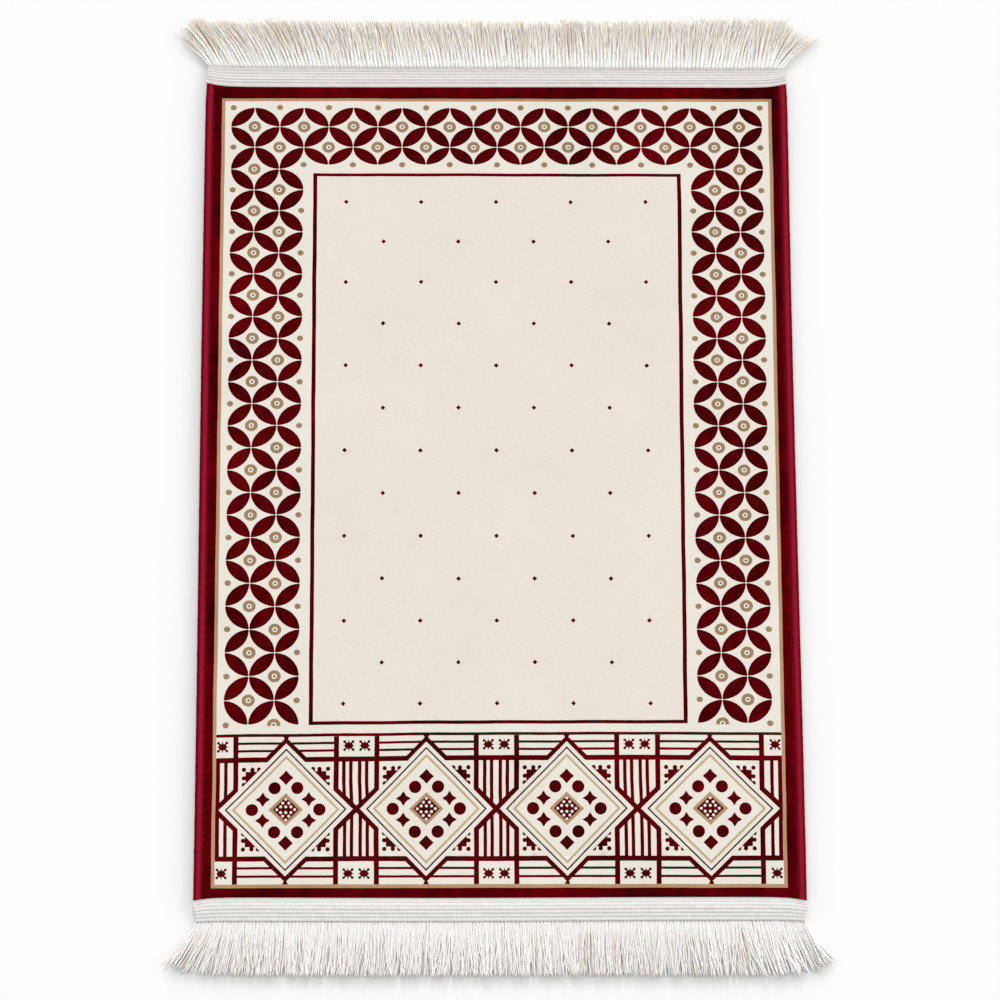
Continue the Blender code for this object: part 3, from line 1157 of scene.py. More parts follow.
@dataclass
class PileCloth:
    """The cut pile, woven as one cloth: each yarn colour is a closed piece of tufts on the ground weave."""

    plan: RugPlan
    design: WovenDesign = field(default_factory=WovenDesign)
    ground_top: float = 1.9 * MM
    rim: float = 1.8 * MM
    rim_drop: float = 0.8 * MM
    rim_loops: tuple[float, ...] = (0.0, 0.12, 0.35, 0.65, 1.0)  # shares of the rim's width
    tuck: float = 1.1 * MM  # how far the long edges run into the bindings' slots
    grid: float = 13 * MM
    edge_step: float = 6 * MM
    join_mm: float = 0.004  # points that lie closer than this are one
    finishes: dict[Yarn, VelvetPile] = field(
        default_factory=lambda: {
            Yarn.CRIMSON: VelvetPile("crimson", deep="#280003", lit="#5d0109"),
            Yarn.CREAM: VelvetPile("cream", deep="#d1ccc1", lit="#d6d2c7"),
            Yarn.FIELD: VelvetPile("field_cream", deep="#d1c9bf", lit="#d6cec4"),
            Yarn.TAN: VelvetPile("tan", deep="#9b7b5b", lit="#ac8c6b"),
            Yarn.BRONZE: VelvetPile("bronze", deep="#866d50", lit="#967b5e"),
            Yarn.PLUM: VelvetPile("plum", deep="#2c0a0b", lit="#3c1211"),
            Yarn.SAND: VelvetPile("sand", deep="#a89671", lit="#b2a07c"),
        }
    )

    def heights(self, x: np.ndarray, y: np.ndarray) -> np.ndarray:
        """Works out the height of the pile's top, which is level, but rounded down at the rim.

        Args:
            x: The places' x.
            y: The places' y.

        Returns:
            The height at each place.
        """
        depth = np.clip(1 - self.plan.inside(x, y) / self.rim, 0, 1)
        drop = self.rim_drop * (1 - np.sqrt(np.clip(1 - depth**2, 0, 1)))
        return self.plan.top + self.plan.lie(x, y) * (1 - depth) - drop

    def mesh_plan(self) -> tuple[np.ndarray, np.ndarray, list[Yarn]]:
        """Cuts the rug's plan into triangles along every outline of the design.

        Returns:
            The plan's points in metres, its triangles, and each triangle's yarn.
        """
        points: list[np.ndarray] = []
        faces: list[list[int]] = []
        edges: list[tuple[int, int]] = []
        yarns = [Yarn.CRIMSON]
        outlines = [self.plan.loop(0.0, self.edge_step, self.tuck)]
        figures = self.design.figures()
        outlines += [self.design.placed(figure, self.plan) for figure in figures]
        yarns += [figure.yarn for figure in figures]
        start = 0
        for outline in outlines:
            faces.append(list(range(start, start + len(outline))))
            points.append(outline)
            start += len(outline)
        for share in self.rim_loops:
            loop = self.plan.loop(self.rim * share, self.edge_step)
            ring = list(range(start, start + len(loop)))
            edges += list(zip(ring, ring[1:] + ring[:1]))
            points.append(loop)
            start += len(loop)
        across = np.arange(-self.plan.half_width, self.plan.half_width, self.grid)
        along = np.arange(-self.plan.half_length, self.plan.half_length, self.grid)
        x, y = (a.ravel() + c for a, c in zip(np.meshgrid(across, along), self.plan.centre))
        kept = self.plan.inside(x, y) > 2 * self.rim
        points.append(np.stack([x[kept], y[kept]], axis=1))
        flat = np.concatenate(points) / MM
        made = delaunay_2d_cdt([Vector(point) for point in flat.tolist()], edges, faces, 0, self.join_mm)
        verts = np.array([tuple(v) for v in made[0]]) * MM
        triangles, owners = [], []
        for triangle, origins in zip(made[2], made[5]):
            if origins:
                triangles.append(triangle)
                owners.append(yarns[max(origins)])
        return verts, np.array(triangles), owners

    def build(self) -> list[Piece]:
        """Builds one piece for each yarn.

        Returns:
            The pieces.
        """
        verts, triangles, owners = self.mesh_plan()
        tops = self.heights(verts[:, 0], verts[:, 1])
        names = np.array([yarn.value for yarn in owners])
        pieces = []
        for yarn in Yarn:
            picked = triangles[names == yarn.value]
            used, index = np.unique(picked, return_inverse=True)
            picked = index.reshape(-1, 3)
            count = len(used)
            upper = np.column_stack([verts[used], tops[used]])
            lower = np.column_stack([verts[used], np.full(count, self.ground_top)])
            directed = np.concatenate([picked[:, [0, 1]], picked[:, [1, 2]], picked[:, [2, 0]]])
            known = {(int(a), int(b)) for a, b in directed}
            walls = [(b, a, a + count, b + count) for a, b in known if (b, a) not in known]
            faces = picked.tolist() + (picked[:, ::-1] + count).tolist() + sorted(walls)
            points, finish = np.concatenate([upper, lower]), self.finishes[yarn].material()
            piece = mesh_piece(f"pile_{yarn.value}", points, faces, finish, sharp_deg=50)
            pieces.append(settle(piece, "rug_cloth"))
        return pieces


@dataclass
class GroundCloth:
    """The ground weave that the pile stands in, which runs on bare under the header tapes."""

    plan: RugPlan
    top: float = 1.9 * MM
    reach: float = 13.8 * MM
    grid: float = 16 * MM
    finish: TintedYarn = TintedYarn(
        "plain_woven_cotton_ground", "#e2dac9", "#b3a68f", roughness=0.9, fibre_mm=1.5
    )

    def build(self) -> Piece:
        """Builds the ground cloth as one closed sheet.

        Returns:
            The piece.
        """
        plan = self.plan
        columns = math.ceil(2 * plan.half_width / self.grid)
        rows = math.ceil(2 * (plan.half_length + self.reach) / self.grid)
        s, t = np.meshgrid(np.linspace(0, 1, columns + 1), np.linspace(0, 1, rows + 1))
        y = plan.centre[1] + (2 * t - 1) * plan.half_length
        x = plan.side_x(Side.LEFT, y) * (1 - s) + plan.side_x(Side.RIGHT, y) * s
        low = plan.end_y(End.NEAR, x) - self.reach
        high = plan.end_y(End.FAR, x) + self.reach
        y = low * (1 - t) + high * t
        upper = np.stack([x, y, np.full_like(x, self.top)], axis=-1).reshape(-1, 3)
        lower = upper * (1, 1, 0)
        wide, count = columns + 1, len(upper)
        corner = (np.arange(rows)[:, None] * wide + np.arange(columns)).ravel()
        quads = np.stack([corner, corner + 1, corner + 1 + wide, corner + wide], axis=1)
        rim = list(range(wide))
        rim += [k * wide + columns for k in range(1, rows + 1)]
        rim += [rows * wide + k for k in range(columns - 1, -1, -1)]
        rim += [k * wide for k in range(rows - 1, 0, -1)]
        walls = [(b, a, a + count, b + count) for a, b in zip(rim, rim[1:] + rim[:1])]
        faces = quads.tolist() + (quads[:, ::-1] + count).tolist() + walls
        points, finish = np.concatenate([upper, lower]), self.finish.material()
        piece = mesh_piece("ground_cloth", points, faces, finish, sharp_deg=50)
        return settle(piece, "rug_cloth")


@dataclass
class EdgeBinding:
    """Yarn whipped round one long edge: a flattened roll, ridged by each turn of yarn, and its stitches."""

    plan: RugPlan
    side: Side
    width: float = 10.5 * MM
    height: float = 6.5 * MM
    gap: float = 0.3 * MM
    arc: Pair = (-0.42, 0.86)  # the section's round part, in half turns from level
    arc_steps: int = 12
    shoulder: float = 0.78  # of its height, where the round part meets the inner face
    slot_depth: float = 6.9 * MM
    slot_heights: Pair = (1.2 * MM, 4.4 * MM)
    turn: float = 2.0 * MM
    rings_each_turn: int = 3
    ridge: float = 0.35 * MM
    wobble: Pair = (0.15 * MM, 0.009)  # how far the roll's surface strays, and over what length
    slant: float = 1.8 * MM
    slant_ends: float = 60.0  # the slant dies away in one part in this many of the length, at each end
    # The crest is painted brighter than the roll's sides, as a painted highlight: its middle's place across the
    # roll, its reach inwards and outwards, and how much the yarn's turns ridge it.
    crest: float = 0.53
    highlight_reach: Pair = (0.33, 0.2)
    highlight_ridges: float = 0.28
    stitch_pitch: float = 3.1 * MM
    stitch_half: Pair = (0.55 * MM, 0.27 * MM)
    stitch_sizes: Pair = (0.4, 1.1)
    stitch_stray: float = 0.35 * MM
    stitch_slant: float = 0.35 * MM
    stitch_out: float = 0.2 * MM
    stitch_sink: float = 0.25 * MM
    stitch_spans: tuple[Pair, ...] = ((-1.0, 0.0), (-0.6, 0.8), (0.6, 0.8), (1.0, 0.0))  # place, thickness
    stitch_seed: int = 5
    finish: TintedYarn = TintedYarn(
        "whipped_polyester_yarn_crimson",
        "#54000c",
        # The tinted shade is the painted highlight along the crest; the yarn's own gloss is kept low.
        "#95162a",
        roughness=0.6,
        fibre_mm=0.9,
        stretch=(0.35, 1.0, 0.35),
        specular=0.01,  # the yarn's soft twist scatters what light it throws back
        fibre_share=0.18,
    )
    thread: TintedYarn = TintedYarn(
        "glossy_polyester_sewing_thread_rose", "#b0485e", "#8a1e32", roughness=0.4, fibre_mm=2.0
    )

    def section(self) -> np.ndarray:
        """The roll's section: distance out from its inner face, and height.

        Returns:
            Points round it: the foot's two, the round part's, the shoulder, and the four of the slot that
            takes the cloth's edge.
        """
        half_wide, half_high = self.width * 0.5, self.height * 0.5
        turns = np.linspace(math.pi * self.arc[0], math.pi * self.arc[1], self.arc_steps + 1)
        outer = [(half_wide + half_wide * math.cos(t), half_high + half_high * math.sin(t)) for t in turns]
        floor, roof = self.slot_heights
        slot = ((0.0, roof), (self.slot_depth, roof), (self.slot_depth, floor), (0.0, floor))
        return np.array([(0.0, 0.0), (half_wide, 0.0), *outer, (0.0, self.height * self.shoulder), *slot])

    def build(self) -> list[Piece]:
        """Builds the binding and its row of stitches.

        Returns:
            The two pieces.
        """
        plan, side = self.plan, self.side
        section = self.section()
        ridged = np.zeros(len(section))
        ridged[2:-4] = 1.0  # the foot and the slot stay plain
        middle = np.array([self.width / 2, self.height / 2])
        out = section - middle
        out /= np.linalg.norm(out, axis=1)[:, None]
        turns = round(2 * plan.half_length / self.turn)
        rings = turns * self.rings_each_turn
        t = np.linspace(0, 1, rings + 1)[:, None]
        ridge = np.abs(np.cos(math.pi * t * turns))
        wobble = self.wobble[0] * ripple(t * 1.0, section[None, :, 0] * 0, self.wobble[1], 4.0 + side.value)
        lift = self.ridge * (ridge - 0.5) + wobble
        s = section[None, :, 0] + out[None, :, 0] * ridged * lift
        z = section[None, :, 1] + out[None, :, 1] * ridged * lift
        y = plan.centre[1] + (2 * t - 1) * plan.half_length
        x = plan.side_x(side, y) + side.value * (self.gap + s)
        low, high = plan.end_y(End.NEAR, x), plan.end_y(End.FAR, x)
        lean = self.slant * (s / self.width - 0.5) * np.where(z > middle[1], 1, -1)
        lean = lean * np.clip(np.minimum(t, 1 - t) * self.slant_ends, 0, 1)
        y = low + (high - low) * t + lean * ridged
        points = np.stack([x, y, np.maximum(z, 0)], axis=-1)
        # A painted highlight along the crest, on the roll's upper half only, ridged by the yarn's turns.
        past = s / self.width - self.crest
        crest = np.exp(-((past / np.where(past < 0, *self.highlight_reach)) ** 2))
        tint = crest * (z > middle[1]) * (1 - self.highlight_ridges + self.highlight_ridges * ridge)
        faces = tube_faces(len(section), rings)
        if side is Side.RIGHT:
            faces = [face[::-1] for face in faces]
        name = f"whipped_edge_{side.name.lower()}"
        finish = self.finish.material()
        roll = mesh_piece(name, points.reshape(-1, 3), faces, finish, sharp_deg=70, tint=tint.ravel())
        return [settle(roll, side.node), self.stitches()]

    def stitches(self) -> Piece:
        """Lays short slanting stitches over the seam between the roll and the pile.

        Returns:
            The piece: each stitch is four-sided and pointed at both ends.
        """
        plan, side = self.plan, self.side
        draw = np.random.default_rng(self.stitch_seed + side.value)
        count = int(2 * plan.half_length / self.stitch_pitch) - 4
        y = plan.centre[1] + (np.arange(count) - (count - 1) / 2) * self.stitch_pitch
        y = y + draw.normal(0, self.stitch_stray, count)
        half, thick = self.stitch_half
        size = draw.uniform(*self.stitch_sizes, count)[:, None]
        turns = np.linspace(0, 2 * math.pi, 4, endpoint=False)
        points, faces = [], []
        for along, wide in self.stitch_spans:
            for turn in turns if wide else turns[:1]:
                x = plan.side_x(side, y)[:, None] + side.value * self.stitch_out + along * half * size
                z = plan.top - self.stitch_sink + wide * thick * math.sin(turn) + 0 * size
                spot = y[:, None] + self.stitch_slant * along * size + wide * thick * math.cos(turn)
                points.append(np.concatenate([x, spot, z], axis=1))
        last = len(points) - 1
        for k in range(1, 5):
            after = k % 4 + 1
            faces += [(0, k, after), (last, after + 4, k + 4), (k, k + 4, after + 4, after)]
        starts = range(0, len(points) * count, len(points))
        piece = mesh_piece(
            f"edge_stitches_{side.name.lower()}",
            np.stack(points, axis=1).reshape(-1, 3),
            [tuple(start + corner for corner in face) for start in starts for face in faces],
            self.thread.material(),
            tint=np.zeros(len(points) * count),
        )
        return settle(piece, side.node)


@dataclass
class HeaderTape:
    """The woven tape that heads a fringe: ribbed along its length, sewn over the cloth's bare end."""

    plan: RugPlan
    end: End
    gap: float = 0.4 * MM
    inner_top: float = 4.2 * MM
    ceiling: float = 2.3 * MM  # the underside's height over the bare ground weave
    recess: float = 14.3 * MM
    level: float = 10 * MM
    hem_rows: tuple[Pair, ...] = ((0.0, 0.5), (0.04, 0.0), (0.1, 0.0))  # place across, depth in a groove
    ribs: int = 5
    ribs_from: float = 0.2
    rib_steps: tuple[float, ...] = (0.0, 0.17, 0.5, 0.83)
    rib_height: float = 0.28 * MM
    plain_rib: float = 0.5  # how much of a rib's height the hem has
    cell: float = 2.8 * MM
    cell_steps: Triple = (0.0, 0.24, 0.76)
    cell_depth: float = 0.6
    lie: Pair = (0.12 * MM, 0.02)  # how high the tape's puckers are, and how long
    # The grooves and their crossings are painted darker than the cords, as painted shade. The unevenness and the
    # fade below vary that painted shade.
    painted_groove_shade: float = 0.36
    painted_crossing_shade: float = 0.26
    unevenness: Pair = (0.45, 0.02 / 3)  # how far the grooves' shade varies, and over what length
    fade: float = 0.25  # how much paler the grooves are on the half nearer the pile
    fade_span: Pair = (0.3, 0.6)
    under_tint: float = 0.5
    # Painted shade over the whole tape, by place across it: at the far end darker towards the fringe; at the near
    # end on the ribs, so that the hem by the pile stands paler, as painted light.
    painted_tape_shade_places: Triple = (0.08, 0.2, 1.0)
    painted_tape_shade: dict[End, Triple] = field(
        default_factory=lambda: {End.FAR: (0.0, 0.04, 0.4), End.NEAR: (0.0, 0.24, 0.24)}
    )
    last_groove: dict[End, float] = field(default_factory=lambda: {End.FAR: 0.3, End.NEAR: 1.0})
    # One white cotton tape at both ends: the far one's colours are painted darker, as painted shade, and the near
    # one's plain white paler, as painted light.
    shades: dict[End, tuple[str, str, str]] = field(
        default_factory=lambda: {
            End.FAR: ("woven_cotton_tape_raw_white", "#cdc9c7", "#9a948f"),
            End.NEAR: ("woven_cotton_tape_white", "#f2f1ee", "#9b9692"),
        }
    )

    def rows(self) -> tuple[np.ndarray, np.ndarray]:
        """Where the tape's rows of points lie across it, and how deep in a groove each one is.

        Returns:
            The places, from 0 at the pile to 1 at the fringe, and the depths.
        """
        pitch = (1 - self.ribs_from) / self.ribs
        rows = [*self.hem_rows, (self.ribs_from - self.rib_steps[1] * pitch, 0.0)]
        for rib in range(self.ribs):
            rows += [(self.ribs_from + (rib + step) * pitch, float(step == 0.0)) for step in self.rib_steps]
        spots, grooves = zip(*rows, (1.0, self.last_groove[self.end]))
        return np.array(spots), np.array(grooves)

    def columns(self, length: float) -> tuple[np.ndarray, np.ndarray]:
        """Where the columns of points lie along the tape, and how deep in a groove each one is.

        Args:
            length: The tape's length.

        Returns:
            The places, from 0 at the left to 1 at the right, and the depths.
        """
        cells = round(length / self.cell)
        steps = np.array(self.cell_steps)
        share = (np.arange(cells)[:, None] + steps[None, :]).ravel() / cells
        grooves = np.tile(steps == 0.0, cells).astype(float)
        return np.append(share, 1.0), np.append(grooves, 1.0)

    def add_painted_tape_shade(self, tint: np.ndarray, v: np.ndarray) -> np.ndarray:
        """Pales the painted groove shade near the pile, and lays more painted shade over the tape: at the far end
        darker towards the fringe, at the near end over the ribs, leaving the hem paler as painted light.

        Args:
            tint: The grooves' painted shade, columns by rows.
            v: The rows' places across the tape.

        Returns:
            The tape's whole shade, from 0 to 1.
        """
        start, stop = self.fade_span
        tint = tint * (1 - self.fade + self.fade * np.clip((v - start) / (stop - start), 0, 1))
        return np.clip(tint + np.interp(v, self.painted_tape_shade_places, self.painted_tape_shade[self.end]), 0, 1)

    def build(self) -> Piece:
        """Builds the tape.

        Returns:
            The piece.
        """
        plan, end = self.plan, self.end
        brow = plan.brows[end]
        share, column_groove = self.columns(brow[-1, 0] - brow[0, 0])
        place = (brow[:, 0] - brow[0, 0]) / (brow[-1, 0] - brow[0, 0])
        outer = np.stack([np.interp(share, place, brow[:, k]) for k in (0, 1)], axis=1)
        left, right = plan.binding_edge[Side.LEFT], plan.binding_edge[Side.RIGHT]
        inner_x = left + (right - left) * share
        inner = np.stack([inner_x, plan.end_y(end, inner_x) + end.value * self.gap], axis=1)
        v, row_groove = self.rows()
        width = np.linalg.norm(outer - inner, axis=1)[:, None]
        out = v[None, :] * width
        slope = np.clip((out - self.level) / (width - self.level), 0, 1)
        ribbed = (v[None, :] > self.ribs_from - 0.01) * 1.0
        groove = np.maximum(row_groove[None, :], self.cell_depth * column_groove[:, None] * ribbed)
        z = self.inner_top + (TAPE_BROW - self.inner_top) * slope
        z = z + self.lie[0] * ripple(outer[:, :1], out, self.lie[1], 6.0)
        z = z + self.rib_height * (1 - groove) * (self.plain_rib + (1 - self.plain_rib) * ribbed)
        crossing = row_groove[None, :] * column_groove[:, None]
        # Painted shade in the grooves and their crossings, made uneven along the tape.
        tint = self.painted_groove_shade * groove + self.painted_crossing_shade * crossing
        woven = 1 + self.unevenness[0] * ripple(outer[:, :1], out, self.unevenness[1], 8.0 + end.value)
        # Then more painted shade over the tape, with the near hem left paler as painted light.
        tint = self.add_painted_tape_shade(tint * np.clip(woven, 0.2, 1.2), v)
        flat = inner[:, None, :] + (outer - inner)[:, None, :] * v[None, :, None]
        top = np.concatenate([flat, z[..., None]], axis=-1)
        under = []
        for reach, height in ((1.0, 0.0), (None, 0.0), (None, self.ceiling), (0.0, self.ceiling)):
            part = self.recess / width if reach is None else np.full((len(share), 1), reach)
            under.append(np.column_stack([inner + (outer - inner) * part, np.full(len(share), height)]))
        points = np.concatenate([top, np.stack(under, axis=1)], axis=1)
        tint = np.concatenate([tint, np.full((len(share), len(under)), self.under_tint)], axis=1)
        faces = tube_faces(points.shape[1], len(share) - 1)
        if end is End.FAR:
            faces = [face[::-1] for face in faces]
        name = f"header_tape_{end.name.lower()}"
        finish = TintedYarn(*self.shades[end], roughness=0.9, fibre_mm=0.8, fibre_share=0.1).material()
        piece = mesh_piece(name, points.reshape(-1, 3), faces, finish, sharp_deg=75, tint=tint.ravel())
        return settle(piece, end.node)


@dataclass(frozen=True)
class ThreadLayer:
    """One layer of a fringe's threads. Lengths are millimetres, and shares are of the fringe's reach."""

    name: str
    threads: int
    radii: Pair  # at the root and at the tip
    heights: Triple  # at the root, of the arch between, and at the tip
    stray: Pair  # how far a thread's tip strays to a side, and how far a whole lock's does
    gather: float = 1.0  # how much of its place in its bunch a thread keeps at the root
    pinch: float = 0.0  # how far a bunch draws together, or below 0 spreads, before its threads part
    pull: float = 0.0  # how far a lock's tips draw together
    wave: float = 0.4
    extent: float = 1.0  # the longest thread's length, as a share
    shortest: float = 0.9  # the shortest thread's, as a share of that
    flat: float = 0.7
    sides: int = 4
    steps: int = 10
    # beige is how much painted warm shade the layer takes, most in the lower layers; up to white_to the thread
    # stays white.
    white_to: float = 0.1  # the share of its length that stays white
    beige: float = 0.0
    blunt: float = 0.45  # how wide the very tip is, as a share of the thread

    def radius(self) -> np.ndarray:
        """The thread's radius at each of its points."""
        radius = np.linspace(*self.radii, self.steps + 1)
        radius[-1] *= self.blunt
        return radius


@dataclass(frozen=True)
class FringeStyle:
    """How one fringe lies, in millimetres.

    The flow's rows are: place across the rug, drift sideways, and reach. The patches' rows are where the
    painted warm shade lies: place across the rug, half width, and strength.
    """

    bunch_pitch: float
    lock_pitch: float
    bend: float
    flow: tuple[Triple, ...]
    patches: tuple[Triple, ...]
    patch_base: float
    layers: tuple[ThreadLayer, ...]
    finish: TintedYarn


FAR_FRINGE = FringeStyle(
    bunch_pitch=4.6,
    lock_pitch=13.0,
    bend=0.35,
    flow=(
        (-347, -39, 36), (-344, -41, 45), (-340, -42, 54), (-334, -42, 61), (-325, -42, 65.5),
        (-290, -42, 67), (-262, -36, 67), (-240, -27, 67.5), (-215, -22, 68), (-150, -15, 69),
        (-40, -11, 69.5), (60, -3, 69.5), (130, 0, 71), (230, 5, 74), (260, 20, 74.5),
        (290, 18, 74.5), (310, 13, 75), (320, 19, 76),
        (327, 27, 76), (332, 36, 69), (335, 43, 57), (338, 46, 45),
    ),
    patches=(
        (-349, 15, 1.0), (-319, 10, 1.0), (-256, 25, 1.0), (-137, 15, 0.85), (-18, 12, 0.8),
        (29, 7, 0.85), (89, 17, 1.0), (172, 15, 0.75), (268, 12, 0.65), (327, 12, 0.6),
    ),
    patch_base=0.55,
    layers=(
        ThreadLayer(
            "under", 1700, radii=(0.6, 0.34), heights=(1.5, 1.7, 1.2), stray=(3.0, 2.0),
            shortest=0.8, sides=3, steps=7, beige=0.95,
        ),
        ThreadLayer(
            "bunched", 912, radii=(0.72, 0.2), heights=(2.1, 2.8, 2.1), stray=(3.5, 3.0),
            gather=0.72, pinch=0.75, shortest=0.75, white_to=0.3, beige=0.6,
        ),
        ThreadLayer(
            "loose", 520, radii=(0.42, 0.2), heights=(2.3, 3.4, 2.9), stray=(6.0, 4.0),
            wave=0.8, shortest=0.8, sides=3, steps=12, beige=0.05,
        ),
    ),
    # The tinted beige is painted warm shade in the fringe's depths.
    finish=TintedYarn(
        "spun_cotton_thread_white_and_beige", "#f3f1ee", "#cdbc9f",
        roughness=0.8, fibre_mm=3.0, fibre_share=0.1,
    ),
)

# The near fringe's white is painted greyer than the far fringe's, as painted shade: the cotton is the same.
NEAR_FRINGE = FringeStyle(
    bunch_pitch=4.1,
    lock_pitch=9.0,
    bend=0.3,
    flow=(
        (-346, -34, 48), (-336, -31, 57), (-326, -24, 61.5), (-310, -15, 63.5), (-290, -8, 64.5),
        (-250, -3, 64.5), (100, 1, 64.5), (180, 3, 65.5), (230, 6, 66), (270, 10, 66), (300, 16, 65.5),
        (322, 23, 63.5), (336, 29, 58), (346, 33, 48),
    ),
    patches=(
        (-348, 12, 1.0), (-295, 8, 0.7), (-227, 6, 0.7), (36, 6, 0.7), (97, 10, 1.0),
        (136, 12, 1.0), (175, 8, 0.8), (222, 9, 0.9), (279, 10, 0.9), (350, 10, 0.7),
    ),
    patch_base=0.2,
    layers=(
        ThreadLayer(
            "under", 640, radii=(0.95, 0.75), heights=(0.9, 1.8, 1.4), stray=(3.0, 2.0),
            pull=0.2, extent=0.95, shortest=0.95, flat=0.6, steps=8, beige=0.8,
        ),
        ThreadLayer(
            "laid", 520, radii=(0.8, 0.62), heights=(1.2, 2.1, 2.7), stray=(3.0, 3.0), gather=0.62,
            pinch=-0.6, pull=0.45, wave=0.9, extent=0.985, shortest=0.97, flat=0.6, sides=5, steps=15,
            beige=0.4, blunt=0.7,
        ),
        ThreadLayer(
            "loose", 430, radii=(0.72, 0.58), heights=(1.4, 2.7, 3.7), stray=(5.0, 3.5), gather=0.62,
            pinch=-0.6, pull=0.4, wave=1.2, shortest=0.96, flat=0.6, sides=5, steps=15, beige=0.2, blunt=0.7,
        ),
    ),
    # The tinted beige is painted warm shade in the fringe's depths.
    finish=TintedYarn(
        "spun_cotton_thread_white", "#e1dfdd", "#c6b9a9", roughness=0.8, fibre_mm=3.0, fibre_share=0.08
    ),
)


@dataclass
class Fringe:
    """One fringe: bunches of soft cotton threads that lie over each other on the floor."""

    plan: RugPlan
    end: End
    root_tuck: Pair = (0.4, 1.2)  # how far the roots run into the tape, in millimetres
    seed: int = 11
    lock_places: Pair = (0.2, 0.8)  # where in its pitch a lock's middle lies
    pinched_at: float = 0.3  # where along the threads a bunch has drawn together
    waves: tuple[Pair, ...] = ((1.2, 1.0), (3.1, 0.45), (5.0, 0.2))  # turns along a thread, and size
    wave_turns: Pair = (0.7, 1.3)
    wave_sizes: Pair = (0.3, 1.2)
    height_shares: Pair = (0.55, 1.1)
    patch_lean: float = 0.6  # how much of the threads' drift a beige patch follows
    # How the painted warm shade varies from thread to thread, and how fast it rises past the white roots.
    warm_shade_spread: float = 0.05
    warm_shade_rise: float = 0.2
    # The tips are painted paler, as painted light: from where along the thread, and by how much.
    tip_painted_light: Pair = (0.75, 0.35)  # from where the tips grow whiter, and by how much
    least_height: float = 0.02 * MM

    @property
    def style(self) -> FringeStyle:
        """How this end's fringe lies."""
        return FAR_FRINGE if self.end is End.FAR else NEAR_FRINGE

    def swings(self, layer: ThreadLayer, spot: np.ndarray, draw: np.random.Generator) -> np.ndarray:
        """Gathers the threads in locks, and works out how far each one swings sideways with its lock.

        Args:
            layer: How the threads lie.
            spot: Each thread's place across the rug, in millimetres.
            draw: Where the small chances come from.

        Returns:
            How far each thread's tip moves, in millimetres.
        """
        pitch = self.style.lock_pitch
        first, last = self.plan.brows[self.end][[0, -1], 0] / MM
        locks = math.ceil((last - first) / pitch) + 3
        middles = first + (np.arange(locks) - 1 + draw.uniform(*self.lock_places, locks)) * pitch
        nearest = np.abs(spot[:, None] - middles[None, :]).argmin(axis=1)
        return draw.normal(0, layer.stray[1], locks)[nearest] + (middles[nearest] - spot) * layer.pull

    def beige(
        self, layer: ThreadLayer, place: np.ndarray, t: np.ndarray, draw: np.random.Generator
    ) -> np.ndarray:
        """Works out how beige each thread is along it: painted warm shade in patches and in the lower layers,
        past the white roots.

        Args:
            layer: How the threads lie.
            place: Where each thread lies among the patches.
            t: The places along a thread, from 0 to 1.
            draw: Where the small chances come from.

        Returns:
            An array of threads by points.
        """
        patch = np.full(layer.threads, self.style.patch_base)
        for middle, half, strength in self.style.patches:
            patch = np.maximum(patch, strength * np.exp(-(((place - middle) / half) ** 4)))
        beige = layer.beige * patch + draw.normal(0, self.warm_shade_spread, layer.threads)
        # Paler towards the tips: painted light.
        painted_light_from, tip_light = self.tip_painted_light
        rise = np.clip((t - layer.white_to) / self.warm_shade_rise, 0, 1)
        return beige[:, None] * rise * (1 - tip_light * np.clip((t - painted_light_from) / (1 - painted_light_from), 0, 1))

    def lines(self, layer: ThreadLayer, draw: np.random.Generator) -> tuple[np.ndarray, np.ndarray]:
        """Works out each thread's line and how beige it is along it.

        Args:
            layer: How the threads lie.
            draw: Where the small chances come from.

        Returns:
            An array of threads by points by three coordinates, and one of threads by points.
        """
        style, count = self.style, layer.threads
        brow = self.plan.brows[self.end] / MM
        first, last = brow[[0, -1], 0]
        spot = first + (last - first) * (np.arange(count) + draw.random(count)) / count
        bunch = (np.floor(spot / style.bunch_pitch) + 0.5) * style.bunch_pitch
        off = (spot - bunch) * layer.gather
        root = np.clip(bunch + off, first, last)
        place, drift, reach = np.array(style.flow, float).T
        from_middle = spot - self.plan.centre[0] / MM
        drift, reach = (np.interp(from_middle, place, column) for column in (drift, reach))
        length = layer.extent * (1 - (1 - layer.shortest) * draw.random(count) ** 1.5)
        swing = self.swings(layer, spot, draw)
        stray = draw.normal(0, layer.stray[0], count)

        t = np.linspace(0, 1, layer.steps + 1)[None, :]
        along = t * length[:, None]
        bent = along * (1 - style.bend) + along**2 * style.bend
        drawn = np.clip(t / self.pinched_at, 0, 1)
        x = root[:, None] - (off * layer.pinch)[:, None] * drawn * drawn * (3 - 2 * drawn)
        x = x + drift[:, None] * bent + swing[:, None] * along**2 + stray[:, None] * along**1.5
        for waves, size in self.waves:
            turn = draw.uniform(*self.wave_turns, (count, 1)) * waves * 2 * math.pi * t
            turn = turn + draw.uniform(0, 2 * math.pi, (count, 1))
            reached = draw.uniform(*self.wave_sizes, (count, 1)) * size * layer.wave * np.sqrt(t)
            x = x + np.sin(turn) * reached
        tuck = draw.uniform(*self.root_tuck, count)
        root_y = np.interp(root, brow[:, 0], brow[:, 1]) - self.end.value * tuck
        y = root_y[:, None] + self.end.value * reach[:, None] * along
        high = draw.uniform(*self.height_shares, (count, 1))
        low, arch, tip = layer.heights
        z = low * (1 - t) ** 2 + 2 * t * (1 - t) * arch * high + t**2 * tip * high
        z = np.maximum(z, layer.radius()[None, :] * layer.flat * 0.9)
        beige = self.beige(layer, from_middle + drift * self.patch_lean, t, draw)
        return np.stack([x, y, z], axis=-1) * MM, beige

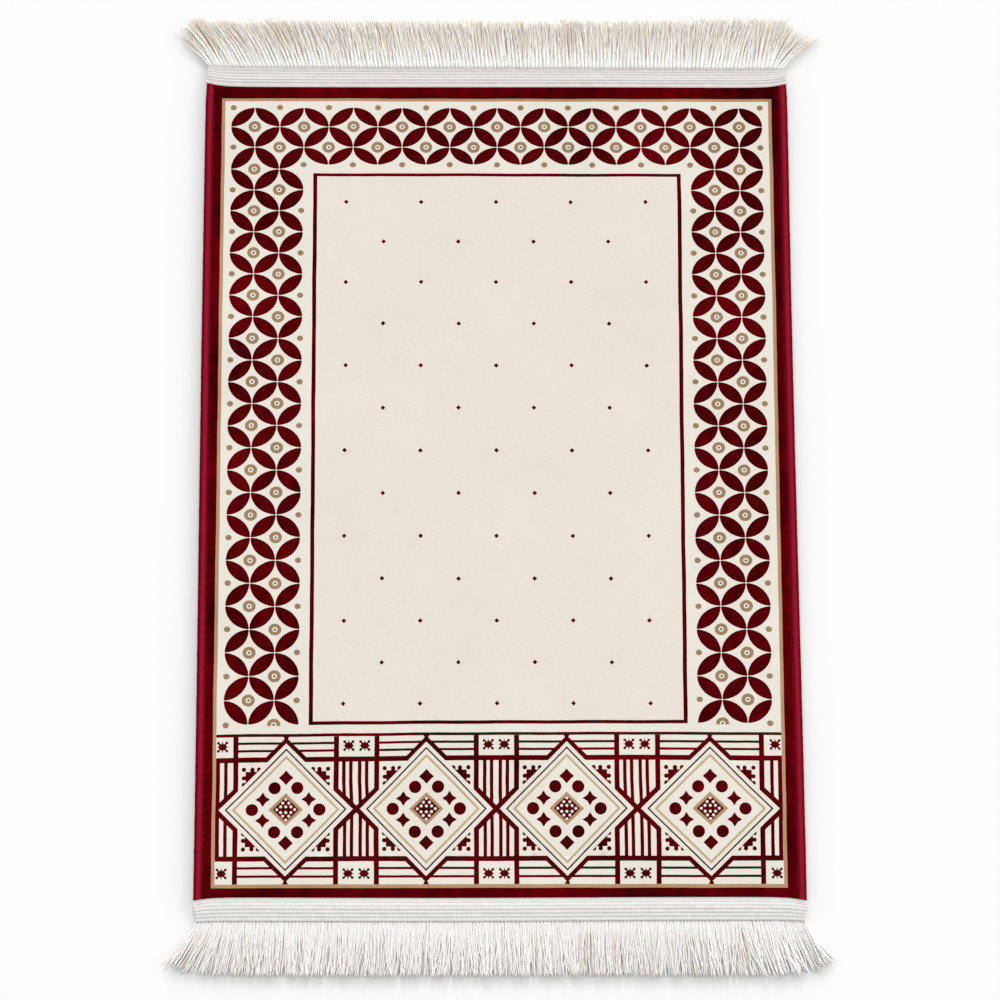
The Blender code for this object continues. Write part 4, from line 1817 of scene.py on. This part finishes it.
    def threads(self, layer: ThreadLayer, draw: np.random.Generator, finish: Material) -> Piece:
        """Builds one layer's threads as a joined mesh, each thread a closed tube.

        Args:
            layer: How the threads lie.
            draw: Where the small chances come from.
            finish: The material that dresses them.

        Returns:
            The piece.
        """
        line, tint = self.lines(layer, draw)
        along = np.gradient(line, axis=1)
        along /= np.linalg.norm(along, axis=2)[..., None]
        across = np.cross(along, (0.0, 0.0, 1.0))
        across /= np.linalg.norm(across, axis=2)[..., None]
        above = np.cross(across, along) * layer.flat
        radius = layer.radius()[None, :, None] * MM
        corners = []
        for k in range(layer.sides):
            turn = 2 * math.pi * k / layer.sides + math.pi / 2
            corners.append(line + radius * (across * math.cos(turn) + above * math.sin(turn)))
        points = np.stack(corners, axis=2)
        points[..., 2] = np.maximum(points[..., 2], self.least_height)
        tube = tube_faces(layer.sides, layer.steps)
        walls, caps = np.array(tube[:-2]), tube[-2:]
        starts = np.arange(layer.threads) * (layer.steps + 1) * layer.sides
        faces = (walls[None] + starts[:, None, None]).reshape(-1, 4).tolist()
        faces += [tuple(start + corner for corner in cap) for start in starts.tolist() for cap in caps]
        name = f"fringe_{self.end.name.lower()}_{layer.name}_threads"
        shade = np.repeat(tint.ravel(), layer.sides)
        piece = mesh_piece(name, points.reshape(-1, 3), faces, finish, tint=shade)
        return settle(piece, self.end.node)

    def build(self) -> list[Piece]:
        """Builds the fringe, layer by layer from the floor up.

        Returns:
            The pieces, one for each layer.
        """
        draw = np.random.default_rng(self.seed + self.end.value)
        finish = self.style.finish.material()
        return [self.threads(layer, draw, finish) for layer in self.style.layers]


# ---- The studio ----


@dataclass(frozen=True)
class SoftLight:
    """A broad soft light that stands low, so that the flat rug throws a wide faint shadow."""

    name: str
    azimuth_deg: float
    elevation_deg: float
    strength: float
    softness_deg: float = 20.0


@dataclass
class Studio:
    """A plain pale floor, low soft lights on three sides, and a camera that looks down from in front."""

    plan: RugPlan
    floor_size: float = 24.0
    floor_shades: tuple[str, str] = ("#e3e3e3", "#e4e4e4")
    focal_px: float = 2700.0
    picture_px: float = 1000.0
    sensor_mm: float = 36.0
    camera_place: Triple = (-0.0786, -0.5781, 3.1165)
    tilt_deg: float = 10.146
    yaw_deg: float = -2.900
    roll_deg: float = 2.868
    frame_shift: float = 0.045
    air_strength: float = 0.74
    lights: tuple[SoftLight, ...] = (
        SoftLight("right", azimuth_deg=0, elevation_deg=13, strength=1.25),
        SoftLight("far_right", azimuth_deg=45, elevation_deg=14, strength=1.7),
        SoftLight("far", azimuth_deg=92, elevation_deg=11, strength=4.0),
        SoftLight("far_left", azimuth_deg=140, elevation_deg=13, strength=0.6),
        SoftLight("left", azimuth_deg=180, elevation_deg=13, strength=0.4),
    )

    def floor(self) -> Piece:
        """Lays the floor, level with the rug's underside.

        Returns:
            The floor.
        """
        material, tree = blank_material("matt_paper_floor")
        place = add_node(tree, "ShaderNodeTexCoord").outputs["Object"]
        grain = add_node(tree, "ShaderNodeTexNoise", {"Scale": 3.0}, {"Vector": place}).outputs["Fac"]
        soft_surface(tree, self.floor_shades, grain, roughness=0.95, specular=0.1)
        half = self.floor_size / 2
        corners = np.array([(-half, -half, 0), (half, -half, 0), (half, half, 0), (-half, half, 0)])
        return mesh_piece("studio_floor", corners.astype(float), [(0, 1, 2, 3)], material)

    def hang(self, light: SoftLight) -> None:
        """Hangs one soft light, far off.

        Args:
            light: The light.
        """
        lamp = bpy.data.lights.new(f"soft_light_{light.name}", "SUN")
        lamp.angle = math.radians(light.softness_deg)
        lamp.energy = light.strength
        holder = bpy.data.objects.new(lamp.name, lamp)
        up, turn = math.radians(light.elevation_deg), math.radians(light.azimuth_deg)
        towards = Vector((math.cos(turn) * math.cos(up), math.sin(turn) * math.cos(up), math.sin(up)))
        holder.rotation_euler = towards.to_track_quat("Z", "Y").to_euler()
        bpy.context.scene.collection.objects.link(holder)

    def world(self) -> None:
        """Fills the room with even, faint light."""
        world = bpy.data.worlds.new("studio_air")
        world.use_nodes = True
        world.node_tree.nodes.clear()
        white = {"Color": (1.0, 1.0, 1.0, 1.0), "Strength": self.air_strength}
        glow = add_node(world.node_tree, "ShaderNodeBackground", white).outputs["Background"]
        add_node(world.node_tree, "ShaderNodeOutputWorld", links={"Surface": glow})
        bpy.context.scene.world = world

    def camera(self) -> None:
        """Sets the camera at the photograph's place and angle."""
        data = bpy.data.cameras.new("studio_camera")
        data.sensor_width = self.sensor_mm
        data.lens = self.focal_px / self.picture_px * self.sensor_mm
        data.shift_x = self.frame_shift
        holder = bpy.data.objects.new("studio_camera", data)
        turn = (
            Matrix.Rotation(math.radians(self.yaw_deg), 4, "Z")
            @ Matrix.Rotation(math.radians(self.tilt_deg), 4, "X")
            @ Matrix.Rotation(math.radians(self.roll_deg), 4, "Z")
        )
        spot = Vector(self.camera_place) + Vector((*self.plan.centre, 0.0))
        holder.matrix_world = Matrix.Translation(spot) @ turn
        bpy.context.scene.collection.objects.link(holder)
        bpy.context.scene.camera = holder

    def build(self) -> None:
        """Sets up the whole studio."""
        self.floor()
        for light in self.lights:
            self.hang(light)
        self.world()
        self.camera()
        bpy.context.scene.view_settings.view_transform = "Standard"


def main() -> None:
    """Builds the rug and the studio round it."""
    logging.basicConfig(level=logging.INFO, format="%(name)s %(message)s")
    plan = RugPlan.read()
    pile = PileCloth(plan).build()
    ground = GroundCloth(plan).build()
    trims = [piece for side in Side for piece in EdgeBinding(plan, side).build()]
    for end in End:
        trims.append(HeaderTape(plan, end).build())
        trims += Fringe(plan, end).build()
    Studio(plan).build()


if __name__ == "__main__":
    main()
